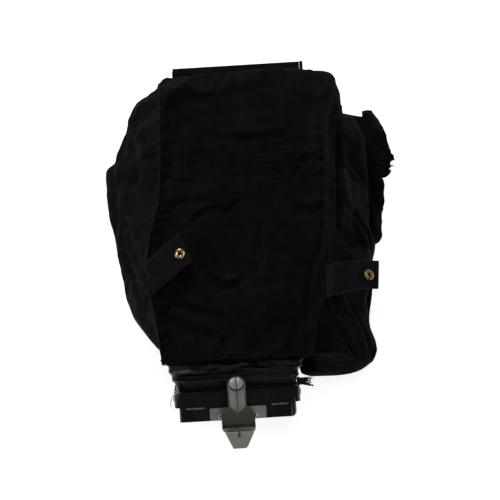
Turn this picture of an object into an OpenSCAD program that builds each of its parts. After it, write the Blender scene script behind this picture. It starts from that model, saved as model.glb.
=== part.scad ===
// Side-discharge mower grass catcher bag.
// A soft woven bag lying on its bottom panel. A vinyl cuff joins it to a two-step
// chute collar that is pitched nose-down and carries a sprung latch with a grip.
// A slide-on channel closes the rear mouth, and two webbing straps with snaps hang the bag.
// X runs across the bag, Y from the chute to the rear closure, Z up. Millimetres.

/* [Collar] */
// Outer width of the chute tube
chute_w = 199; // [190:1:203]
// Outer height of the chute tube
chute_h = 85; // [80:1:85]
// Wall of the chute tube
chute_wall = 2.5; // [2:0.1:3]
// Length of the chute tube, mouth to neck
chute_len = 76; // [72:1:78]
// Nose-down pitch of the collar in degrees
collar_pitch = 25; // [25:0.5:25.5]
// Width of the stepped flange
flange_w = 214; // [212:1:216]
// Depth of the stepped flange along the tube
flange_d = 26; // [22:1:26]

/* [Latch] */
// Diameter of the grip
grip_d = 31; // [26:0.5:33]
// Length of the grip
grip_len = 71; // [66:1:78]
// Lean of the grip towards the bag in degrees
grip_lean = 36; // [35:0.5:37]
// Thickness of the latch sheet metal
latch_t = 2.4; // [2:0.1:2.6]
// Radius of the latch pin
pin_r = 2.5; // [2.3:0.1:2.5]
// Radial running clearance of the latch on its pin
pin_clear = 0.06; // [0.03:0.01:0.09]

/* [Bag] */
// Thickness of the woven panels as collision solids
cloth_t = 2.4; // [1.6:0.1:2.6]
// Radius of the piped seam bindings
seam_r = 3; // [2:0.1:3]
// Thickness of the vinyl cuff
cuff_t = 1.6; // [1.2:0.1:1.7]

/* [Closure] */
// Length of the slide-on closure channel
channel_len = 226; // [200:1:226]
// Outer size of the square closure channel
channel_sz = 14; // [13.6:0.1:14.4]
// Wall of the closure channel
channel_wall = 1.5; // [1.2:0.1:1.5]
// Diameter of the cord inside each rear hem
bead_d = 5; // [4.4:0.1:5]

/* [Straps] */
// Width of the webbing
web_w = 50.8; // [44:0.2:51]
// Thickness of the webbing
web_t = 2.4; // [1.6:0.1:2.6]
// Outer diameter of the brass snaps
snap_d = 19; // [15:0.5:20]
// Radius of the hole through the middle of each snap
snap_hole_r = 3; // [2.5:0.1:3.2]

/* [Hidden] */

// The row frame stands on the floor at the middle of the whole object.
shift = [-41.5, -308.93, 0];
collar_z = 77.1;

// ---------- interpolation and thin sheets ----------
function ext(l, i) = i < 0 ? 2 * l[0] - l[1] : i > len(l) - 1 ? 2 * l[len(l) - 1] - l[len(l) - 2] : l[i];
function crom(a, b, c, d, t) = 0.5 * (2 * b + (c - a) * t + (2 * a - 5 * b + 4 * c - d) * t * t + (3 * b - a - 3 * c + d) * t * t * t);
// point at parameter t along an open list
function along(l, t) = let (i = max(0, min(floor(t), len(l) - 2)), f = t - i)
    crom(ext(l, i - 1), ext(l, i), ext(l, i + 1), ext(l, i + 2), f);
// point at parameter t around a closed list
function around(l, t) = let (n = len(l), i = floor(t) % n, f = t - floor(t))
    crom(l[(i + n - 1) % n], l[i % n], l[(i + 1) % n], l[(i + 2) % n], f);
function above(p) = [p[0], p[1], max(0, p[2])];
function unit(v) = v / norm(v);
function toward(a, b, d) = a + unit(b - a) * d;
// grid[v][u] of points, moved d along the surface normal
function offset_grid(g, d, closed = false) = let (nv = len(g), nu = len(g[0])) [for (v = [0 : nv - 1]) [for (u = [0 : nu - 1])
    let (u0 = closed ? (u + nu - 1) % nu : max(0, u - 1), u1 = closed ? (u + 1) % nu : min(nu - 1, u + 1),
        v0 = max(0, v - 1), v1 = min(nv - 1, v + 1),
        n = cross(g[v][u1] - g[v][u0], g[v1][u] - g[v0][u]))
    g[v][u] + unit(n) * d]];
// a sheet of thickness t below the outer grid
module sheet(g, t, closed = false) {
    nv = len(g);
    nu = len(g[0]);
    h = offset_grid(g, -t, closed);
    pts = concat([for (r = g) for (p = r) above(p)], [for (r = h) for (p = r) above(p)]);
    m = nv * nu;
    ulast = closed ? nu - 1 : nu - 2;
    faces = concat(
        [for (v = [0 : nv - 2]) for (u = [0 : ulast]) let (w = (u + 1) % nu) for (f = [[v * nu + u, (v + 1) * nu + u, (v + 1) * nu + w], [v * nu + u, (v + 1) * nu + w, v * nu + w]]) f],
        [for (v = [0 : nv - 2]) for (u = [0 : ulast]) let (w = (u + 1) % nu) for (f = [[m + v * nu + u, m + (v + 1) * nu + w, m + (v + 1) * nu + u], [m + v * nu + u, m + v * nu + w, m + (v + 1) * nu + w]]) f],
        [for (u = [0 : ulast]) let (w = (u + 1) % nu) for (f = [[u, w, m + w], [u, m + w, m + u]]) f],
        [for (u = [0 : ulast]) let (w = (u + 1) % nu, q = (nv - 1) * nu) for (f = [[q + u, m + q + w, q + w], [q + u, m + q + u, m + q + w]]) f],
        closed ? [] : [for (v = [0 : nv - 2]) let (a = v * nu, b = (v + 1) * nu) for (f = [[a, m + b, b], [a, m + a, m + b]]) f],
        closed ? [] : [for (v = [0 : nv - 2]) let (a = v * nu + nu - 1, b = (v + 1) * nu + nu - 1) for (f = [[a, b, m + b], [a, m + b, m + a]]) f]);
    polyhedron(points = pts, faces = faces, convexity = 8);
}
// a round tube swept along points, k sides
module tube(p, r, k = 6, closed = false) {
    n = len(p);
    ring = [for (i = [0 : n - 1]) let (
            a = closed ? p[(i + n - 1) % n] : p[max(0, i - 1)],
            b = closed ? p[(i + 1) % n] : p[min(n - 1, i + 1)],
            d = unit(b - a),
            s = abs(d[2]) > 0.9 ? [0, 1, 0] : [0, 0, 1],
            x = unit(cross(d, s)), y = cross(x, d))
        [for (j = [0 : k - 1]) p[i] + r * (cos(360 * j / k + 90) * x + sin(360 * j / k + 90) * y)]];
    last = closed ? n - 1 : n - 2;
    faces = concat(
        [for (i = [0 : last]) for (j = [0 : k - 1]) let (i2 = (i + 1) % n, j2 = (j + 1) % k) for (f = [[i * k + j, i2 * k + j2, i2 * k + j], [i * k + j, i * k + j2, i2 * k + j2]]) f],
        closed ? [] : [[for (j = [0 : k - 1]) k - 1 - j]],
        closed ? [] : [[for (j = [0 : k - 1]) (n - 1) * k + j]]);
    polyhedron(points = [for (q = ring) for (s = q) s], faces = faces, convexity = 6);
}

// ---------- the bag's shape ----------
// Each row is one section, front to rear. Columns run bottom-left seam, low left, high left,
// top-left seam, three across the top, top-right seam, high right, low right, bottom-right seam,
// and two across the bottom.
CAGE = [
    [[-122, 133, 3], [-127, 124, 36], [-127, 110, 80], [-122, 99, 116], [-60, 92, 131], [5, 91, 133], [72, 91, 132], [131, 92, 126], [172, 102, 98], [211, 112, 44], [223, 118, 3], [100, 134, 0], [0, 137, 0]],
    [[-134, 168, 3], [-141, 166, 38], [-138, 164, 86], [-127, 160, 122], [-65, 156, 135], [8, 152, 139], [82, 152, 138], [144, 152, 133], [184, 152, 103], [225, 152, 42], [234, 154, 3], [95, 166, 0], [-15, 168, 0]],
    [[-170, 238, 3], [-177, 240, 40], [-162, 240, 92], [-138, 240, 127], [-70, 238, 138], [8, 235, 140], [88, 235, 141], [168, 240, 137], [197, 240, 102], [223, 240, 46], [230, 240, 3], [95, 240, 0], [-30, 240, 0]],
    [[-184, 310, 3], [-191, 310, 42], [-168, 310, 94], [-134, 310, 128], [-70, 310, 134], [8, 310, 136], [90, 310, 139], [172, 312, 140], [204, 312, 104], [232, 310, 48], [237, 310, 3], [95, 310, 0], [-38, 310, 0]],
    [[-193, 380, 3], [-202, 382, 36], [-172, 382, 90], [-114, 385, 128], [-58, 385, 129], [15, 385, 131], [95, 385, 134], [177, 390, 139], [210, 388, 102], [238, 385, 46], [243, 385, 3], [95, 385, 0], [-40, 385, 0]],
    [[-196, 455, 3], [-206, 455, 36], [-176, 456, 84], [-108, 460, 122], [-55, 460, 122], [20, 460, 124], [100, 460, 127], [178, 460, 133], [213, 458, 94], [240, 455, 42], [245, 455, 3], [98, 455, 0], [-40, 455, 0]],
    [[-180, 520, 3], [-184, 522, 36], [-160, 526, 76], [-104, 532, 112], [-50, 532, 112], [25, 532, 114], [105, 532, 116], [186, 532, 120], [217, 528, 84], [239, 522, 38], [243, 520, 3], [100, 520, 0], [-36, 520, 0]],
    [[-159, 570, 4], [-164, 572, 36], [-144, 578, 66], [-102, 582, 98], [-48, 584, 100], [28, 584, 101], [108, 584, 103], [195, 580, 106], [209, 575, 75], [216, 572, 31], [243, 568, 4], [100, 570, 0], [-30, 570, 0]],
    [[-142, 602, 10], [-148, 604, 34], [-134, 606, 58], [-101, 608, 84], [-48, 612, 88], [30, 614, 88], [112, 613, 90], [199, 602, 92], [205, 599, 68], [207, 596, 40], [206, 592, 12], [100, 602, 8], [-20, 602, 8]],
    [[-116, 630, 24], [-120, 630, 36], [-116, 630, 48], [-96, 632, 64], [-46, 636, 68], [32, 637, 68], [112, 636, 70], [190, 624, 74], [195, 622, 60], [195, 620, 44], [189, 618, 28], [100, 630, 26], [-10, 630, 26]],
    [[-88, 643, 46.5], [-89, 643, 49], [-88, 643, 51], [-84, 643, 53], [-44, 645, 53], [34, 645, 53], [110, 645, 53], [160, 639, 53], [166, 637, 51], [166, 637, 49], [160, 638, 46.5], [100, 643, 46.5], [0, 643, 46.5]]
];
// columns of one panel, in order, as a cage of its own
function cols(idx) = [for (row = CAGE) [for (k = idx) row[k]]];
// point on a panel's cage at u across and v along
function spot(c, u, v) = along([for (row = c) along(row, u)], v);
function ramp(a, b, n) = [for (i = [0 : n]) a + (b - a) * i / n];
// grid of a panel, its two sides held edge_gap inside the seam lines
edge_gap = 4.4;
function panel_grid(idx, us, vs) = let (c = cols(idx), n = len(idx) - 1, k = len(us) - 1) [for (v = vs) concat(
    [above(toward(spot(c, 0, v), spot(c, us[0], v), edge_gap))],
    [for (u = us) above(spot(c, u, v))],
    [above(toward(spot(c, n, v), spot(c, us[k], v), edge_gap))])];
// seam line of one column
function seam(k, vs) = [for (v = vs) let (p = along([for (row = CAGE) row[k]], v)) [p[0], p[1], max(p[2], seam_r)]];

// from collar coordinates (x, along the tube, out of its top) to the row frame
function out_of_collar(x, s, n) = [x, s * cos(collar_pitch) - n * sin(collar_pitch), collar_z + s * sin(collar_pitch) + n * cos(collar_pitch)];
module in_collar() { translate([0, 0, collar_z]) rotate([collar_pitch, 0, 0]) children(); }

// the hole in the front panel, in collar coordinates, same order as the cage's columns
HOLE = [[-117, -80], [-119, -58], [-119, -26], [-116, -4], [-60, 2], [5, 2], [68, 2], [120, -4], [123, -26], [123, -58], [120, -80], [40, -85], [-40, -85]];

VS = concat([0.08], ramp(0.5, 9.5, 18), [9.93]);
VB = concat([0.2], ramp(0.5, 9.5, 18), [9.93]);
VG = concat([0.14], ramp(0.5, 9.0, 17), [9.25]);

module top_panel() color([0.05, 0.05, 0.055]) translate(shift)
    sheet(panel_grid([3, 4, 5, 6, 7], ramp(0.4, 3.6, 8), VS), cloth_t);

module bottom_panel() color([0.04, 0.04, 0.045]) translate(shift)
    sheet(panel_grid([10, 11, 12, 0], ramp(0.4, 2.6, 6), VB), cloth_t);

module left_gusset() color([0.06, 0.06, 0.065]) translate(shift)
    sheet(panel_grid([0, 1, 2, 3], [0.6, 1, 1.5, 2, 2.4], VG), cloth_t);

module right_gusset() color([0.055, 0.055, 0.06]) translate(shift)
    sheet(panel_grid([7, 8, 9, 10], [0.6, 1, 1.5, 2, 2.4], VG), cloth_t);

module front_panel() color([0.045, 0.045, 0.05]) translate(shift) {
    ts = ramp(0, 12.6, 38);
    ins = [for (t = concat(ts)) let (h = around(HOLE, t)) out_of_collar(h[0], 102, h[1])];
    // the outer edge is held inside the seam, square to it
    edge = [for (i = [0 : len(ts) - 1]) let (j = around(CAGE[0], ts[i]), q = [j[0], j[1], max(j[2], seam_r)],
        a = unit(around(CAGE[0], ts[i] + 0.12) - around(CAGE[0], ts[i] + 12.88)), w = ins[i] - q)
        q + unit(w - (w * a) * a) * 6.2];
    mid = [for (i = [0 : len(ts) - 1]) (ins[i] + edge[i]) / 2 + [0, -0.04 * norm(edge[i] - ins[i]), 0]];
    sheet([ins, mid, edge], cloth_t, closed = true);
}

module top_seam_binding() color([0.07, 0.07, 0.075]) translate(shift) {
    tube(seam(3, concat([0.22], ramp(0.5, 9.5, 18))), seam_r);
    tube(seam(7, concat([0.22], ramp(0.5, 9.5, 18))), seam_r);
}

module bottom_seam_binding() color([0.07, 0.07, 0.075]) translate(shift) {
    tube(seam(0, concat([0.28], ramp(0.5, 9, 17))), seam_r);
    tube(seam(10, concat([0.28], ramp(0.5, 9, 17))), seam_r);
}

module front_seam_binding() color([0.07, 0.07, 0.075]) translate(shift)
    tube([for (t = ramp(0, 12.6, 38)) let (p = around(CAGE[0], t)) [p[0], p[1], max(p[2], seam_r)]], seam_r, closed = true);

// gathered flap of spare cloth along the right foot: inner edge, outer edge, height and ruffle
FLAP = [[328, 252, 257, 8], [343, 252, 264, 12], [357, 252, 267, 18], [372, 252, 266, 10], [387, 252, 269, 17], [401, 252, 274, 10], [417, 252, 276, 18],
    [431, 252, 274, 10], [446, 252, 280, 20], [454, 252, 286, 12], [461, 252, 289, 20], [475, 252, 289, 12], [490, 252, 289, 18], [505, 252, 289, 12], [519, 252, 288, 16],
    [535, 252, 285, 12], [550, 252, 278, 17], [564, 252, 269, 12], [575, 252, 262, 14]];
module gathered_side_flap() color([0.05, 0.05, 0.055]) translate(shift)
    sheet([for (i = [0 : len(FLAP) - 1]) let (f = FLAP[i], w = f[2] - f[1]) [for (k = [0 : 4]) [f[1] + w * (4 - k) / 4, f[0], 4 + cloth_t + (f[3] - 6) * (4 - k) / 4 + (k == 2 ? 5 : 0)]]], cloth_t);

// ---------- rear closure ----------
module hem_bead(z, web_z) {
    translate([-80, 652, z]) rotate([0, 90, 0]) cylinder(r = bead_d / 2, h = 219, $fn = 32);
    translate([-80, 646, web_z - 0.75]) cube([219, 6, 1.5]);
}
module hem_bead_upper() color([0.08, 0.08, 0.08]) translate(shift) hem_bead(50 + bead_d / 2 + 0.15, 51.05);
module hem_bead_lower() color([0.08, 0.08, 0.08]) translate(shift) hem_bead(50 - bead_d / 2 - 0.15, 48.95);

module closure_channel() color([0.09, 0.09, 0.09]) translate(shift) translate([-79, 652, 50]) rotate([90, 0, 90])
    linear_extrude(channel_len - 6) difference() {
        union() {
            square([channel_sz - 3, channel_sz], center = true);
            square([channel_sz, channel_sz - 3], center = true);
            for (a = [-1, 1], b = [-1, 1]) translate([a * (channel_sz / 2 - 1.5), b * (channel_sz / 2 - 1.5)]) circle(r = 1.5, $fn = 32);
        }
        square([channel_sz - 2 * channel_wall, channel_sz - 2 * channel_wall], center = true);
        translate([-channel_sz, -2.3]) square([channel_sz, 4.6]);
    }

module channel_end_cap() color([0.07, 0.07, 0.07]) translate(shift) translate([-79 + channel_len - 5.5, 652, 50]) rotate([90, 0, 90])
    linear_extrude(5.5) union() {
        square([channel_sz - 2, channel_sz + 1], center = true);
        square([channel_sz + 1, channel_sz - 2], center = true);
        for (a = [-1, 1], b = [-1, 1]) translate([a * (channel_sz / 2 - 1), b * (channel_sz / 2 - 1)]) circle(r = 1.5, $fn = 32);
    }

// ---------- straps and snaps ----------
// left strap: its own plane, x along the strap, origin at the middle of the base fold
module on_left_strap() { translate(shift) translate([-137.9, 242.4, 135]) rotate([0, 0, 37]) rotate([0, -8.2, 0]) children(); }
SNAP_L = [67.7, -3, 0];
module strap_left() color([0.06, 0.06, 0.06]) on_left_strap() difference() {
    linear_extrude(web_t) polygon([[-11.5, -web_w / 2], [74, -web_w / 2], [89, web_w / 2], [11.5, web_w / 2]]);
    translate(SNAP_L + [0, 0, -1]) cylinder(r = snap_hole_r, h = web_t + 2, $fn = 32);
}
module strap_anchor_left() color([0.055, 0.055, 0.055]) on_left_strap() translate([0, 0, -3.4])
    linear_extrude(2) polygon([[-6, -23], [15, -23], [35, 23], [14, 23]]);
module snap_cap(t = 1.2) {
    rotate_extrude($fn = 48) polygon([[snap_hole_r, 0], [snap_d / 2, 0], [snap_d / 2, 0.6], [snap_d / 2 - 1.4, t + 0.7], [snap_d / 2 - 3, t + 1], [snap_hole_r + 1.2, t + 0.5], [snap_hole_r, t]]);
}
module snap_socket() {
    rotate_extrude($fn = 48) polygon([[snap_hole_r, -2.6], [6, -2.6], [6.6, -1.2], [8, -1], [8, 0], [snap_hole_r, 0]]);
}
module snap_stud() {
    cylinder(r = 6, h = 0.9, $fn = 48);
    cylinder(r = 2.6, h = 3, $fn = 48);
}
module snap_cap_left() color([0.72, 0.55, 0.3]) on_left_strap() translate(SNAP_L + [0, 0, web_t + 0.05]) snap_cap();
module snap_socket_left() color([0.72, 0.55, 0.3]) on_left_strap() translate(SNAP_L - [0, 0, 0.05]) snap_socket();
module snap_stud_left() color([0.72, 0.55, 0.3]) translate(shift) translate([-104, 262, 135.1]) rotate([0, -7, 0]) snap_stud();

// right strap: a ribbon that arches over the seam and reaches out past the gusset
RIB = [[166, 186, 243, 146], [176, 189, 243, 150.5], [188, 192, 245, 151], [205, 197, 249, 144], [222, 202, 252, 134], [238, 205, 255, 125], [254, 207, 257, 117]];
module strap_right() color([0.06, 0.06, 0.06]) translate(shift)
    sheet([for (r = RIB) [[r[0] - 3, r[1], r[3]], [r[0] - 1, (r[1] + r[2]) / 2, r[3] + 0.3], [r[0] + 1, r[2], r[3]]]], web_t);
module on_right_snap() { translate(shift) translate([234.7, 227.5, 127.2]) rotate([0, 29.6, 0]) children(); }
module strap_anchor_right() color([0.055, 0.055, 0.055]) translate(shift)
    sheet([for (r = [[163, 190, 239, 143.2], [170, 190, 239, 144], [178, 191, 239, 141.5]]) [[r[0], r[1], r[3]], [r[0], r[2], r[3]]]], 1.6);
module snap_cap_right() color([0.72, 0.55, 0.3]) on_right_snap() translate([0, 0, web_t + 0.6]) snap_cap();
module snap_socket_right() color([0.72, 0.55, 0.3]) on_right_snap() translate([0, 0, -1.3]) snap_socket();
module snap_stud_right() color([0.72, 0.55, 0.3]) translate(shift) translate([191, 216, 114]) rotate([0, 48, 0]) snap_stud();

// ---------- cuff ----------
// rounded-rectangle ring in collar coordinates
function rring(s, x0, x1, n0, n1, r) = [for (c = [[x0 + r, n0 + r, 270], [x0 + r, n1 - r, 180], [x1 - r, n1 - r, 90], [x1 - r, n0 + r, 0]])
    each concat([for (a = [0, 30, 60, 90]) out_of_collar(c[0] + r * cos(c[2] - a), s, c[1] + r * sin(c[2] - a))],
        c[2] == 180 ? [for (k = [1 : 5]) out_of_collar(x0 + r + (x1 - x0 - 2 * r) * k / 6, s, n1)] :
        c[2] == 0 ? [for (k = [1 : 5]) out_of_collar(x1 - r - (x1 - x0 - 2 * r) * k / 6, s, n0)] : [])];
CUFF = [[52.5, -102, 102, -87.6, 2.5, 10], [61, -102, 102, -87.6, 2.5, 10], [70, -107, 105, -89.5, 8, 14], [78, -110, 108, -88.6, 5.5, 14],
    [86, -113, 112, -86.5, 9, 14], [94, -114, 116, -84, 4.5, 14], [100, -113, 117, -80, -2.5, 14]];
module vinyl_cuff() color([0.12, 0.12, 0.12]) translate(shift)
    sheet([for (c = CUFF) rring(c[0], c[1], c[2], c[3], c[4], c[5])], cuff_t, closed = true);
module cuff_seam_tail() color([0.08, 0.08, 0.08]) translate(shift) in_collar() translate([0, 0, -9])
    linear_extrude(6) polygon([[106.5, 52.5], [110, 51.8], [114, 54.5], [119, 53], [124, 56.5], [132, 55.5], [129, 60], [122, 63], [118, 61], [113, 65], [108, 64]]);
module clamp_wire() color([0.6, 0.61, 0.58]) translate(shift)
    tube(rring(56.5, -104, 104, -89.6, 4.5, 12), 1.6, closed = true);

// ---------- chute collar ----------
module rrect(w, h, r) {
    square([w - 2 * r, h], center = true);
    square([w, h - 2 * r], center = true);
    for (a = [-1, 1], b = [-1, 1]) translate([a * (w / 2 - r), b * (h / 2 - r)]) circle(r = r, $fn = 64);
}
module chute_tube() color([0.13, 0.13, 0.13]) translate(shift) in_collar() difference() {
    translate([0, 0, -chute_h / 2]) rotate([-90, 0, 0]) linear_extrude(chute_len) difference() {
        rrect(chute_w, chute_h, 8);
        rrect(chute_w - 2 * chute_wall, chute_h - 2 * chute_wall, 8 - chute_wall);
    }
    // rounded right-hand corner of the mouth
    translate([chute_w / 2 - 9, -0.1, -chute_h - 1]) difference() {
        translate([0, -1, 0]) cube([12, 10.1, chute_h + 2]);
        translate([0, 9.1, -1]) cylinder(r = 9, h = chute_h + 4, $fn = 64);
    }
    for (x = [-31, 31]) translate([x, 7.5, -5]) cylinder(r = 2.1, h = 10, $fn = 32);
    for (z = [-22, -63], a = [-1, 1]) translate([a * chute_w / 2, 38, z]) rotate([0, 90, 0]) cylinder(r = 2.1, h = 24, center = true, $fn = 32);
}
module flange_collar() color([0.15, 0.15, 0.15]) translate(shift) in_collar() difference() {
    union() {
        translate([0, 25, -chute_h / 2]) rotate([-90, 0, 0]) linear_extrude(flange_d) difference() {
            rrect(flange_w, chute_h + 10, 11);
            rrect(chute_w + 0.3, chute_h + 0.3, 8.15);
        }
        translate([0, 0, 3]) linear_extrude(3.6) {
            polygon([[-98, 25.1], [-24, 25.1], [-31, 25 + flange_d - 0.1], [-98, 25 + flange_d - 0.1]]);
            polygon([[57, 25.1], [97, 25.1], [97, 25 + flange_d - 0.1], [57, 25 + flange_d - 0.1]]);
        }
    }
    for (z = [-22, -63], a = [-1, 1]) translate([a * chute_w / 2, 38, z]) rotate([0, 90, 0]) cylinder(r = 2.1, h = 24, center = true, $fn = 32);
}
module collar_rivets() color([0.55, 0.56, 0.54]) translate(shift) in_collar()
    for (z = [-22, -63], a = [-1, 1]) translate([a * flange_w / 2, 38, z]) rotate([0, a * 90, 0]) {
        translate([0, 0, 0.1]) cylinder(r = 4.2, h = 1.5, $fn = 32);
        translate([0, 0, -11.2]) cylinder(r = 2, h = 12, $fn = 32);
        translate([0, 0, -12.2]) cylinder(r = 3.4, h = 1.3, $fn = 32);
    }

// ---------- latch ----------
pivot = [0, -6.6, 7.5];
module latch_bracket() color([0.62, 0.64, 0.6]) translate(shift) in_collar() difference() {
    union() {
        translate([0, 0, 0.1]) linear_extrude(2) {
            translate([-46, 0.5]) square([92, 21]);
            translate([-48, 2.5]) square([96, 17]);
            for (x = [-46, 46], y = [2.5, 19.5]) translate([x, y]) circle(r = 2, $fn = 32);
            translate([-20.6, -11]) square([41.2, 12]);
        }
        for (x = [-19.5, 19.5]) translate([x - 1, 0, 0]) rotate([90, 0, 90]) linear_extrude(2) {
            translate([-12, 0.1]) square([13, 7.4]);
            translate([-6.6, 7.5]) circle(r = 5.2, $fn = 48);
        }
    }
    translate(pivot) rotate([0, 90, 0]) cylinder(r = pin_r + 0.05, h = 60, center = true, $fn = 48);
    for (x = [-31, 31]) translate([x, 7.5, -1]) cylinder(r = 2.1, h = 5, $fn = 32);
}
module bracket_rivets() color([0.66, 0.67, 0.64]) translate(shift) in_collar()
    for (x = [-31, 31]) translate([x, 7.5, 0]) {
        translate([0, 0, 2.15]) cylinder(r = 4, h = 1.5, $fn = 32);
        translate([0, 0, -3.4]) cylinder(r = 2, h = 6, $fn = 32);
        translate([0, 0, -3.9]) cylinder(r = 3.4, h = 1.3, $fn = 32);
    }
module latch_pin() color([0.7, 0.7, 0.68]) translate(shift) in_collar() translate(pivot) rotate([0, 90, 0]) {
    cylinder(r = pin_r, h = 43, center = true, $fn = 48);
    for (a = [-1, 1]) translate([0, 0, a * 21.6]) cylinder(r = 4, h = 1.6, center = true, $fn = 48);
}
// torsion spring: a coil round the pin with one leg on the bracket and one under the lever
SPRING = concat([[-5.4, 10, -4.3]], [[-5.4, 3, -4.3]],
    [for (i = [0 : 84]) let (a = -90 - i * 360 * 6.5 / 84) [-5.4 + 10.8 * i / 84, 4.2 * cos(a), 4.2 * sin(a)]],
    [[5.4, 4, 3.5], [5.4, 9, 3], [5.4, 14, 4]]);
module latch_spring() color([0.5, 0.5, 0.5]) translate(shift) in_collar() translate(pivot) tube(SPRING, 0.6);

// the lever is one stamping: a bent strip, seen from the side, cut to its plan outline
BEND = [[-44, -19], [-16, -15.5], [-5.2, 6.9], [5.6, 6.9], [34, 19.4]];
function miter(l, i) = let (
        a = i > 0 ? unit(l[i] - l[i - 1]) : unit(l[1] - l[0]),
        b = i < len(l) - 1 ? unit(l[i + 1] - l[i]) : a,
        m = unit([-(a[1] + b[1]), a[0] + b[0]]))
    m / (m * [-a[1], a[0]]);
function strip(l, t) = concat([for (i = [0 : len(l) - 1]) l[i] + miter(l, i) * t / 2], [for (i = [len(l) - 1 : -1 : 0]) l[i] - miter(l, i) * t / 2]);
LEVER_PLAN = [[-12, 34.5], [12, 34.5], [23.5, 27], [28.5, 16], [28.5, -9], [26, -16], [15.5, -37], [14, -40.5], [10, -44.5],
    [-10.7, -44.5], [-12, -43], [-24, -16], [-28.5, -9], [-28.5, 16], [-23.5, 27]];
grip_at = [0, 34, 21.5];
module latch_lever() color([0.58, 0.6, 0.56]) translate(shift) in_collar() translate(pivot) difference() {
    union() {
        rotate([0, 90, 0]) cylinder(r = 4.6, h = 35.2, center = true, $fn = 48);
        intersection() {
            translate([-29, 0, 0]) rotate([90, 0, 90]) linear_extrude(58) polygon(strip(BEND, latch_t));
            translate([0, 0, -30]) linear_extrude(60) polygon(LEVER_PLAN);
        }
        // web between the knuckle and the plate that bends over it
        translate([-17.6, -4.5, 0]) cube([35.2, 9, 6.2]);
        // stiffening dart across the bend
        translate([-1.6, 0, 0]) rotate([90, 0, 90]) linear_extrude(3.2) polygon([[-21, -15.9], [-14.6, -10], [-14.6, -14.6]]);
        // tang inside the grip, standing on the rear plate
        translate([-0.9, 0, 0]) rotate([90, 0, 90]) linear_extrude(1.8)
            polygon([[14, 10.4], [25.6, 28.4], [63.8, 81.2], [80.7, 68.8], [42.65, 17.7], [34, 19.2]]);
    }
    rotate([0, 90, 0]) cylinder(r = pin_r + pin_clear, h = 60, center = true, $fn = 48);
    // pocket for the spring, closed above by the plate
    translate([-6.7, -6.2, -8]) cube([13.4, 14.2, 13.3]);
    // grip rivet holes
    translate(grip_at) rotate([-grip_lean, 0, 0]) for (h = [16, 54]) translate([0, 0, h]) rotate([0, 90, 0]) cylinder(r = 2.1, h = 10, center = true, $fn = 32);
}
module grip_half(side) {
    translate(grip_at) rotate([-grip_lean, 0, 0]) difference() {
        intersection() {
            rotate_extrude($fn = 96) polygon([[0, 0], [12.6, 0], [13.6, 2.5], [grip_d / 2, 8], [grip_d / 2, grip_len - 4], [grip_d / 2 - 0.5, grip_len - 1],
                [grip_d / 2 - 1.4, grip_len], [grip_d / 2 - 2.2, grip_len], [grip_d / 2 - 2.2, grip_len - 2], [grip_d / 2 - 3.4, grip_len - 2], [grip_d / 2 - 3.4, grip_len - 0.2], [0, grip_len - 0.2]]);
            translate([side > 0 ? 1.05 : -31.05, -20, -1]) cube([30, 40, grip_len + 2]);
        }
        for (h = [16, 54]) translate([0, 0, h]) rotate([0, 90, 0]) cylinder(r = 2.1, h = 40, center = true, $fn = 32);
        for (h = [16, 54]) translate([side * 12, 0, h]) rotate([0, side * 90, 0]) cylinder(r = 4.4, h = 10, $fn = 32);
    }
}
module grip_left_half() color([0.3, 0.29, 0.28]) translate(shift) in_collar() translate(pivot) grip_half(-1);
module grip_right_half() color([0.3, 0.29, 0.28]) translate(shift) in_collar() translate(pivot) grip_half(1);
module grip_rivets() color([0.6, 0.6, 0.58]) translate(shift) in_collar() translate(pivot) translate(grip_at) rotate([-grip_lean, 0, 0])
    for (h = [16, 54]) translate([0, 0, h]) rotate([0, 90, 0]) {
        cylinder(r = 2, h = 25.6, center = true, $fn = 32);
        for (a = [-1, 1]) translate([0, 0, a * 12.9]) cylinder(r = 4.1, h = 1.6, center = true, $fn = 32);
    }

top_panel();
bottom_panel();
left_gusset();
right_gusset();
front_panel();
top_seam_binding();
bottom_seam_binding();
front_seam_binding();
gathered_side_flap();
hem_bead_upper();
hem_bead_lower();
closure_channel();
channel_end_cap();
strap_anchor_left();
strap_anchor_right();
strap_left();
strap_right();
snap_cap_left();
snap_socket_left();
snap_cap_right();
snap_socket_right();
snap_stud_left();
snap_stud_right();
vinyl_cuff();
cuff_seam_tail();
clamp_wire();
chute_tube();
flange_collar();
collar_rivets();
latch_bracket();
bracket_rivets();
latch_pin();
latch_spring();
latch_lever();
grip_left_half();
grip_right_half();
grip_rivets();
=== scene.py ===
import bpy, math, random
import numpy as np
from mathutils import Vector, Matrix, Quaternion


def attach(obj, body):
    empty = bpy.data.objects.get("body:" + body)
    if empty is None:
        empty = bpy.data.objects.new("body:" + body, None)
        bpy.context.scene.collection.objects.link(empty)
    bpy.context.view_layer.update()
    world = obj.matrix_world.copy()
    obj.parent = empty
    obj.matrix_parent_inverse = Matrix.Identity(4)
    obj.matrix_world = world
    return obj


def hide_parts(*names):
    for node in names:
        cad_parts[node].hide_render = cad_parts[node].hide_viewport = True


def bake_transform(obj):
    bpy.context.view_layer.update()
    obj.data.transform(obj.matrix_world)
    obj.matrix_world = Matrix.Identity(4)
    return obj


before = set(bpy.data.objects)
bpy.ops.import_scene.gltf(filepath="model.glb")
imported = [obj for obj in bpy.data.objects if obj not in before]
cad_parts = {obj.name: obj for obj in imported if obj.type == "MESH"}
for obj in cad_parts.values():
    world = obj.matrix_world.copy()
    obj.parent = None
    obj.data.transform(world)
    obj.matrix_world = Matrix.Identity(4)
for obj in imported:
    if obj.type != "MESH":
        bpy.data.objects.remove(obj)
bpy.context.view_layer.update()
rng = np.random.default_rng(7)
SH = np.array([-41.5, -308.93, 0.0])          # local millimetres to the row frame


# ------------------------------------------------------------------ helpers
def M(p):
    """local millimetres to row-frame metres"""
    return (np.asarray(p, float) + SH) / 1000.0


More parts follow.
